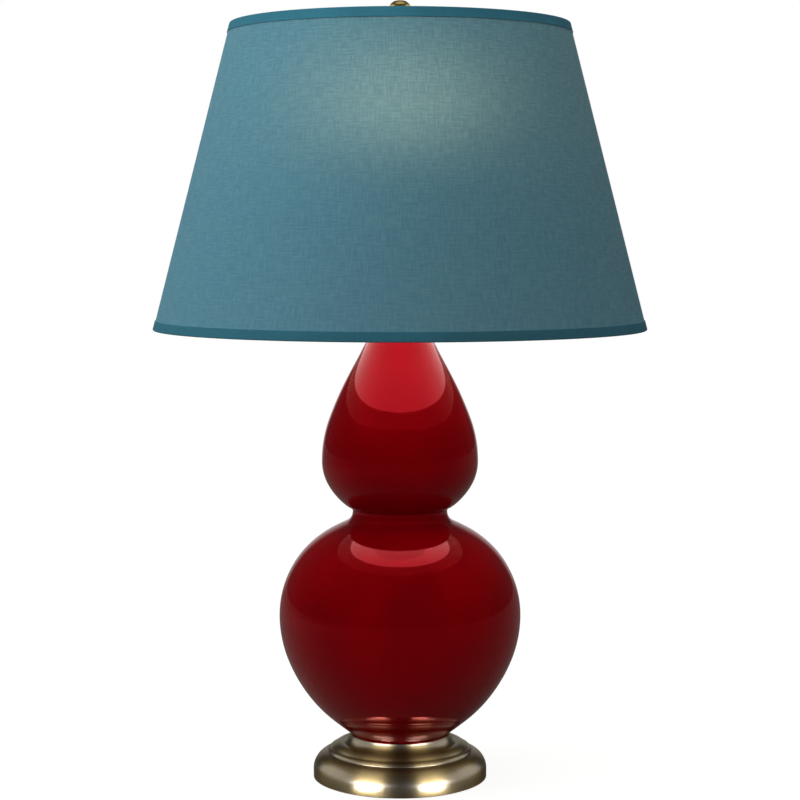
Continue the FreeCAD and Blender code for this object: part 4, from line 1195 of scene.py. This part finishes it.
@dataclass
class Harp(SubAssembly):
    """Bent brass harp with its sliding ferrules, top block and swivelling stud."""

    foot: float = 26.0
    foot_size: tuple[float, float, float] = (1.65, 3.1, 15.7)
    foot_offset: float = 0.875
    foot_height: float = 524.15
    wire: float = 1.7
    wire_start: float = 530.3
    straight_top: float = 539.0
    flare_top: float = 605.0
    half_width: float = 52.0
    top: float = 726.0
    block: float = 6.5
    ferrule_bore: float = 2.5
    ferrule_reach: float = 3.6
    ferrule_low: float = 516.3
    ferrule_high: float = 530.0
    stud_low: float = 720.5
    rest_low: float = 730.3
    thread_low: float = 732.3
    thread_high: float = 747.3
    thread_root: float = 2.75
    thread_crest: float = 3.15
    thread_pitch: float = 0.84
    thread_count: int = 16

    def side(self, name: str, side: int) -> Piece:
        """One of the harp's two wires, from its tongue to the block."""
        run = (self.half_width - self.foot) / 2
        rise = (self.flare_top - self.straight_top) / 2
        chord = math.hypot(run, rise)
        radius = chord * chord / (2 * run)
        bow = (radius - math.sqrt(radius * radius - chord * chord / 4)) / chord
        line = trace([
            (self.foot, self.wire_start), (self.foot, self.straight_top, -bow),
            (self.foot + run, (self.straight_top + self.flare_top) / 2, bow),
            (self.half_width, self.flare_top),
            (self.half_width, self.top - self.half_width + self.block, QUARTER_BOW),
            (self.block, self.top),
        ], 14, closed=False)
        return swept(name, [(across * side, 0.0, up) for across, up in line], self.wire, 6)

    def bow(self) -> Piece:
        """Both wires with their flattened feet."""
        parts = []
        for side, name in ((1, "bow_right"), (-1, "bow_left")):
            place = (side * (self.foot + self.foot_offset) * MM, 0, self.foot_height * MM)
            parts.append(self.side(name, side))
            cube = bpy.ops.mesh.primitive_cube_add
            foot = added(f"{name}_foot", cube, size=MM, location=place)
            foot.scale = self.foot_size
            parts.append(ease(settle(foot), 0.4))
        return smooth(joined("harp_bow", parts), 50.0)

    def ferrule(self, name: str, side: int) -> Piece:
        """Sliding sleeve with rolled ends and a plain waist."""
        bore, reach, low, high = (
            self.ferrule_bore, self.ferrule_reach, self.ferrule_low, self.ferrule_high
        )
        outline = trace([
            (bore, low), (reach - 0.2, low, 0.3), (reach, low + 1.4, 0.2),
            (reach - 0.3, low + 2.2), (reach - 0.3, high - 2.2, 0.2), (reach, high - 1.4, 0.3),
            (reach - 0.2, high), (bore, high),
        ], 5)
        return smooth(lathe(name, outline, 48, (self.foot * side, 0.0)), 35.0)

    def stud(self) -> Piece:
        """Stud with a riveted head, a rest for the shade and a cut thread."""
        head, rest, low, high = self.stud_low, self.rest_low, self.thread_low, self.thread_high
        thread = []
        for step in range(self.thread_count):
            level = low + 0.6 + step * self.thread_pitch
            thread += [(self.thread_root, level), (self.thread_crest, level + self.thread_pitch / 2)]
        return smooth(turned("swivel_stud", [
            (0, head), (3.4, head), (4.0, head + 0.5), (4.0, head + 1.2), (2.4, head + 1.2),
            (2.4, rest), (8.6, rest, 0.3), (9.0, rest + 1.0, 0.3), (8.6, low),
            (self.thread_root, low), *thread, (2.2, high), (0, high),
        ], 4, 64), 25.0)

    def build(self) -> None:
        """Make the harp's pieces."""
        self.hand_over(self.bow(), Body.HARP, Slot.HARP_BRASS, "harp_wire")
        block = ease(merged_copy("harp_boss", "harp_block"), 0.9, 3, 40.0)
        self.hand_over(block, Body.HARP, Slot.HARP_BRASS, "harp_boss")
        for name, side, body in (("right", 1, Body.RIGHT_FERRULE), ("left", -1, Body.LEFT_FERRULE)):
            sleeve = self.ferrule(f"sleeve_{name}", side)
            self.hand_over(sleeve, body, Slot.HARP_BRASS, f"ferrule_{name}")
        self.hand_over(self.stud(), Body.STUD, Slot.HARP_BRASS, "harp_stud")


@dataclass
class Shade(SubAssembly):
    """Cloth-covered empire shade on two wire rings, with its spider."""

    low: float = 449.0
    high: float = 744.122
    low_radius: float = 241.3
    high_radius: float = 165.1
    liner_depth: float = 1.3
    skin_rows: int = 24
    trim_width: float = 8.6
    trim_thickness: float = 0.6
    trim_gap: float = 0.1
    ring_wire: float = 1.6
    ring_gap: float = 0.3
    ring_inset: float = 3.4
    seam_width: float = 12.0
    seam_thickness: float = 0.46
    seam_gap: float = 0.12
    hub_bore: float = 3.45
    hub_radius: float = 12.5
    hub_low: float = 732.6
    hub_high: float = 734.6
    arm_wire: float = 1.5
    arm_gap: float = 0.05
    arms: int = 3
    turns: int = 256

    def radius(self, height: float) -> float:
        """Radius of the cloth's face at a height."""
        share = (height - self.low) / (self.high - self.low)
        return self.low_radius + (self.high_radius - self.low_radius) * share

    def skin(self, name: str, depth: float) -> Piece:
        """One unbroken conical skin, this far inside the cloth's face."""
        rows, span = self.skin_rows, self.high - self.low
        heights = [self.low + span * row / rows for row in range(rows + 1)]
        outline = [(self.radius(height) - depth, height) for height in heights]
        piece = lathe(name, outline, self.turns)
        face_away(piece)
        unroll(piece, (self.low_radius + self.high_radius) / 2)
        return smooth(piece)

    def trim(self, name: str, edge: float, up: int) -> Piece:
        """Tape folded over an edge: an outer leg, a round fold and a lip over the wire ring."""
        inner, outer = self.trim_gap, self.trim_gap + self.trim_thickness
        leg, rim = edge - self.trim_width * up, self.radius(edge)
        lip = rim - 1.5 - self.ring_wire - self.ring_gap
        piece = turned(name, [
            (self.radius(leg) + inner, leg),
            (self.radius(leg) + outer - 0.25, leg, 0.3 * up),
            (self.radius(leg + 0.5 * up) + outer, leg + 0.5 * up),
            (rim + outer, edge - 0.4 * up, 0.2 * up),
            (rim - 0.6, edge + outer * up), (lip, edge + outer * up), (lip, edge + inner * up),
            (rim + inner, edge + inner * up),
        ], 4, self.turns)
        unroll(piece, rim)
        return smooth(piece, 60.0)

    def seam(self) -> Piece:
        """Lapped seam up the rear, between the trims, with eased edges."""
        inset = self.trim_width + self.trim_gap
        low, high = self.low + inset, self.high - inset
        grid = bpy.ops.mesh.primitive_grid_add
        piece = added(
            "cover_seam", grid, x_subdivisions=10, y_subdivisions=40, size=1.0, calc_uvs=False,
        )
        for vertex in piece.data.vertices:
            height = low + (high - low) * (vertex.co.y + 0.5)
            across = vertex.co.x * self.seam_width
            reach = self.radius(height) + self.seam_gap
            back = math.sqrt(reach * reach - across * across)
            vertex.co = Vector((across, back, height)) * MM
        with editing(piece):
            bpy.ops.mesh.normals_make_consistent(inside=False)
        face_away(piece)
        unroll(piece, (self.low_radius + self.high_radius) / 2)
        apply_modifier(piece, "SOLIDIFY", thickness=self.seam_thickness * MM, offset=1.0)
        return ease(piece, 0.2)

    def ring(self, name: str, height: float, radius: float) -> Piece:
        """Wire ring."""
        return smooth(settle(added(
            name, bpy.ops.mesh.primitive_torus_add, major_radius=radius * MM,
            minor_radius=self.ring_wire * MM, major_segments=192, minor_segments=16,
            location=(0, 0, height * MM),
        )))

    def spider(self) -> tuple[Piece, Piece]:
        """The hub washer and its three arms, which rise to the top ring.

        Returns:
            The hub and the arms.
        """
        bore, rim, low, high = self.hub_bore, self.hub_radius, self.hub_low, self.hub_high
        hub = ease(turned("spider_washer", [
            (bore, low), (rim, low), (rim, high), (8.4, high), (7.6, high - 0.5),
            (bore, high - 0.5),
        ], 8, 72), 0.3)
        ring_height = self.high - self.ring_wire - self.ring_gap
        ring_reach = self.radius(ring_height) - self.ring_inset - self.ring_wire
        parts = []
        for step in range(self.arms):
            turn = math.radians(90 + 360 / self.arms * step)
            way = Vector((math.cos(turn), math.sin(turn), 0))
            start = way * (rim + self.arm_gap) + Vector((0, 0, (low + high) / 2))
            end = way * (ring_reach - self.arm_gap) + Vector((0, 0, ring_height))
            parts.append(ease(rod(f"arm_{step}", self.arm_wire, start, end, 20), 0.3, 2, 40.0))
        return hub, joined("spider_spokes", parts)

    def build(self) -> None:
        """Make the shade."""
        def ride(piece: Piece, slot: Slot, node: str) -> Piece:
            return self.hand_over(piece, Body.SHADE, slot, node)

        drop = self.ring_wire + self.ring_gap
        top_height, low_height = self.high - drop, self.low + drop
        top_reach = self.radius(top_height) - self.ring_inset
        low_reach = self.radius(low_height + self.ring_wire) - self.ring_inset
        cover = ride(self.skin("cloth_cover", 0.0), Slot.TEAL_CLOTH, "shade_cover")
        ride(self.skin("white_liner", self.liner_depth), Slot.WHITE_LINER, "shade_liner")
        top = ride(self.trim("tape_top", self.high, 1), Slot.TEAL_TRIM, "top_trim")
        bottom = ride(self.trim("tape_bottom", self.low, -1), Slot.TEAL_TRIM, "bottom_trim")
        seam = ride(self.seam(), Slot.TEAL_CLOTH, "shade_seam")
        top_ring = self.ring("wire_top", top_height, top_reach)
        ride(top_ring, Slot.WHITE_WIRE, "top_ring")
        low_ring = self.ring("wire_bottom", low_height, low_reach)
        ride(low_ring, Slot.WHITE_WIRE, "bottom_ring")
        hub, spokes = self.spider()
        ride(hub, Slot.WHITE_WIRE, "spider_hub")
        ride(spokes, Slot.WHITE_WIRE, "spider_arms")


@dataclass
class Finial(SubAssembly):
    """Turned finial: base, slim neck and a round knob, in heights over its base."""

    base: float = 734.9
    bore: float = 3.2
    depth: float = 15.0
    outline: tuple[Row, ...] = (
        (7.1, 0.0, 0.2), (7.5, 1.1, 0.25), (6.8, 2.3), (5.6, 2.5), (5.6, 3.3), (4.8, 4.0, -0.04),
        (4.8, 13.0, -0.12), (9.4, 23.6, 0.12), (9.9, 25.6), (9.9, 27.4, 0.12), (6.9, 31.2, 0.08),
        (4.2, 32.5, 0.04), (0.0, 32.9),
    )

    def turning(self) -> Piece:
        """Turn the finial with its blind bore."""
        rows = ((self.bore, 0.0), *self.outline, (0.0, self.depth), (self.bore, self.depth))
        corners = [(across, self.base + rise, *bow) for across, rise, *bow in rows]
        return ease(turned("turned_finial", corners, 9, 96), 0.15)

    def build(self) -> None:
        """Make the finial."""
        self.hand_over(
            self.turning(), Body.FINIAL, Slot.ANTIQUE_BRASS, "finial", FINIAL_FINISH,
        )


# ---------------------------------------------------------------- studio


def left_out(title: str, names: Sequence[str]) -> bpy.types.Collection:
    """A light linking collection that leaves these pieces out."""
    made = bpy.data.collections.new(title)
    for name in names:
        made.objects.link(bpy.data.objects[name])
    for held in made.collection_objects:
        held.light_linking.link_state = "EXCLUDE"
    return made


@dataclass(frozen=True)
class Softbox:
    """A lamp behind a diffuser: where it hangs, what it faces, its size and its power.

    Args:
        title: Name of the lamp.
        place: Where it hangs, in metres.
        target: The point that it faces.
        size: Its width and height in metres.
        power: Its power in watts.
        fills: Whether it lights matt surfaces.
        shines: Whether metal and gloss mirror it.
        flagged: The pieces that it is kept off.
        shape: Blender's name for its outline.
    """

    title: str
    place: tuple[float, float, float]
    target: tuple[float, float, float]
    size: tuple[float, float]
    power: float
    fills: bool = True
    shines: bool = True
    flagged: tuple[str, ...] = ("glazed_gourd",)
    shape: str = "RECTANGLE"

    def hang(self) -> None:
        """Add the lamp to the scene."""
        lamp = added(self.title, bpy.ops.object.light_add, type="AREA", location=self.place)
        lamp.data.shape = self.shape
        lamp.data.size, lamp.data.size_y = self.size
        lamp.data.energy = self.power
        lamp.visible_camera = False
        lamp.visible_diffuse = lamp.visible_transmission = self.fills
        lamp.visible_glossy = self.shines
        kept_off = left_out(f"{self.title}_kept_off", self.flagged)
        lamp.light_linking.receiver_collection = kept_off
        way = Vector(self.target) - Vector(self.place)
        lamp.rotation_euler = way.to_track_quat("-Z", "Y").to_euler()


@dataclass
class Studio:
    """Pale floor, white surround, lamps that fill, lamps that only metal mirrors, and the camera."""

    distance: float = 2.0
    height: float = 0.548
    pitch: float = 4.86
    lens: float = 91.41
    sensor: float = 36.0
    clip: Point = (0.05, 60.0)
    floor_radius: float = 12.0
    floor_drop: float = 0.0002
    bulb_height: float = 0.65
    bulb_radius: float = 0.03
    bulb_power: float = 0.42
    bulb_colour: str = "#fff3df"

    def softboxes(self) -> list[Softbox]:
        """The lamps: strips, cards and panels for the brass, fills for the cloth and the brass."""
        found = [
            Softbox("strip_left", (-1.04, -1.21, 0.2), (0, 0, 0.2), (1.15, 0.38), 48.0, False),
            Softbox("strip_right", (1.10, -1.16, 0.2), (0, 0, 0.2), (1.1, 0.38), 45.0, False),
        ]
        for name, side in (("left", -1), ("right", 1)):
            place, above = (0.056 * side, -0.11, 0.002), (0.056 * side, -0.11, 1)
            card = Softbox(f"card_{name}", place, above, (0.05, 0.05), 0.24, False, shape="DISK")
            size, facing = (2.4, 1.7), (0, 0, 0.9)
            panel = Softbox(f"panel_{name}", (1.9 * side, 0.3, 0.9), facing, size, 22.0, False)
            found += [card, panel]
        both = ("glazed_gourd", "foot_shell")
        return found + [
            Softbox("top_card", (0, -0.2, 2.4), (0, 0, 0.8), (2.0, 1.6), 13.0, False, True, both),
            Softbox(
                "side_fill", (-1.75, -0.47, 1.35), (0, 0, 0.5), (1.5, 1.5), 30.0, shines=False,
            ),
            Softbox(
                "crown_fill", (-0.18, -0.55, 1.25), (0, -0.15, 0.74), (0.5, 0.5), 3.0,
                shines=False,
            ),
            Softbox(
                "shade_mouth", (0, 0, 0.461), (0, 0, 0), (0.35, 0.35), 0.5,
                flagged=("foot_shell",), shape="DISK",
            ),
        ]

    def camera(self) -> None:
        """Stand the camera where the photograph was taken from."""
        camera = added(
            "camera", bpy.ops.object.camera_add, location=(0, -self.distance, self.height),
            rotation=(math.radians(90 - self.pitch), 0, 0),
        )
        camera.data.lens = self.lens
        camera.data.sensor_width = self.sensor
        camera.data.clip_start, camera.data.clip_end = self.clip
        bpy.context.scene.camera = camera

    def floor(self) -> None:
        """Lay the floor: pale, white to the camera but for the shadow, and clear from below."""
        piece = added(
            "floor", bpy.ops.mesh.primitive_circle_add, vertices=64, radius=self.floor_radius,
            fill_type="NGON", location=(0, 0, -self.floor_drop),
        )
        made = bpy.data.materials.new("pale_floor")
        tree = blank_tree(made)
        path = add_node(tree, "LightPath").outputs
        place = add_node(tree, "TexCoord").outputs["Object"]
        away = add_node(tree, "SeparateXYZ", sockets={0: place}).outputs[1]
        way = add_node(tree, "VectorMath", {"operation": "NORMALIZE"}, {0: place}).outputs[0]
        ahead = add_node(tree, "SeparateXYZ", sockets={0: way}).outputs[1]
        far, behind = ramp(tree, away, 0.8, 3.5), ramp(tree, ahead, 0.88, 1.0, 0.0, 0.5)
        glossy = maths(tree, "MULTIPLY", maths(tree, "MULTIPLY", behind, far), path["Is Glossy Ray"])
        level = maths(tree, "MULTIPLY_ADD", path["Is Camera Ray"], 0.9, glossy)
        lit = add_node(tree, "BsdfDiffuse", sockets={"Color": "#5e5c59"}).outputs[0]
        seen = add_node(tree, "Emission", sockets={"Color": "#ffffff", "Strength": level})
        both = add_node(tree, "AddShader", sockets={0: lit, 1: seen.outputs[0]}).outputs[0]
        below = add_node(tree, "NewGeometry").outputs["Backfacing"]
        clear = add_node(tree, "BsdfTransparent").outputs[0]
        shown = add_node(tree, "MixShader", sockets={0: below, 1: both, 2: clear}).outputs[0]
        add_node(tree, "OutputMaterial", sockets={"Surface": shown})
        piece.data.materials.append(made)

    def surround(self) -> None:
        """White to the camera and through glass, bright behind and dim in front to what mirrors it.

        Matt surfaces get a soft light from it that is a little stronger from the left.
        """
        world = bpy.data.worlds.new("surround")
        bpy.context.scene.world = world
        tree = blank_tree(world)
        path = add_node(tree, "LightPath").outputs
        east, north, _ = axes(tree, "Generated")
        behind = ramp(tree, north, 0.88, 1.0, 0.04, 0.6)
        glossy = maths(tree, "MULTIPLY", behind, path["Is Glossy Ray"])
        clear = maths(tree, "MAXIMUM", path["Is Camera Ray"], path["Is Transmission Ray"])
        side = maths(tree, "MULTIPLY_ADD", east, -0.28, 1.04)
        soft = maths(tree, "MULTIPLY", path["Is Diffuse Ray"], side)
        strength = maths(tree, "MAXIMUM", maths(tree, "MAXIMUM", clear, glossy), soft)
        light = add_node(tree, "Background", sockets={"Color": "#ffffff", "Strength": strength})
        add_node(tree, "OutputWorld", sockets={"Surface": light.outputs[0]})

    def filament(self) -> None:
        """Put the bulb's light in its widest part, where its glass lets it out unshadowed."""
        lamp = added(
            "filament", bpy.ops.object.light_add, type="POINT", radius=self.bulb_radius,
            location=(0, 0, self.bulb_height),
        )
        lamp.data.energy = self.bulb_power
        lamp.data.color = linear(self.bulb_colour)[:3]
        lamp.visible_camera = lamp.visible_glossy = False
        passed = left_out("filament_passes", ["opal_envelope"])
        lamp.light_linking.receiver_collection = lamp.light_linking.blocker_collection = passed

    def build(self) -> None:
        """Set the studio up."""
        bpy.context.scene.view_settings.view_transform = "Standard"
        self.camera()
        self.floor()
        self.surround()
        for softbox in self.softboxes():
            softbox.hang()
        self.filament()


def main() -> None:
    """Build the lamp and the studio."""
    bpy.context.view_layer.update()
    for part in (Foot(), Gourd(), NeckAndCap(), LampHolder(), Bulb(), Harp(), Shade(), Finial()):
        part.build()
    Studio().build()
    bpy.ops.object.select_all(action="DESELECT")


if __name__ == "__main__":
    main()
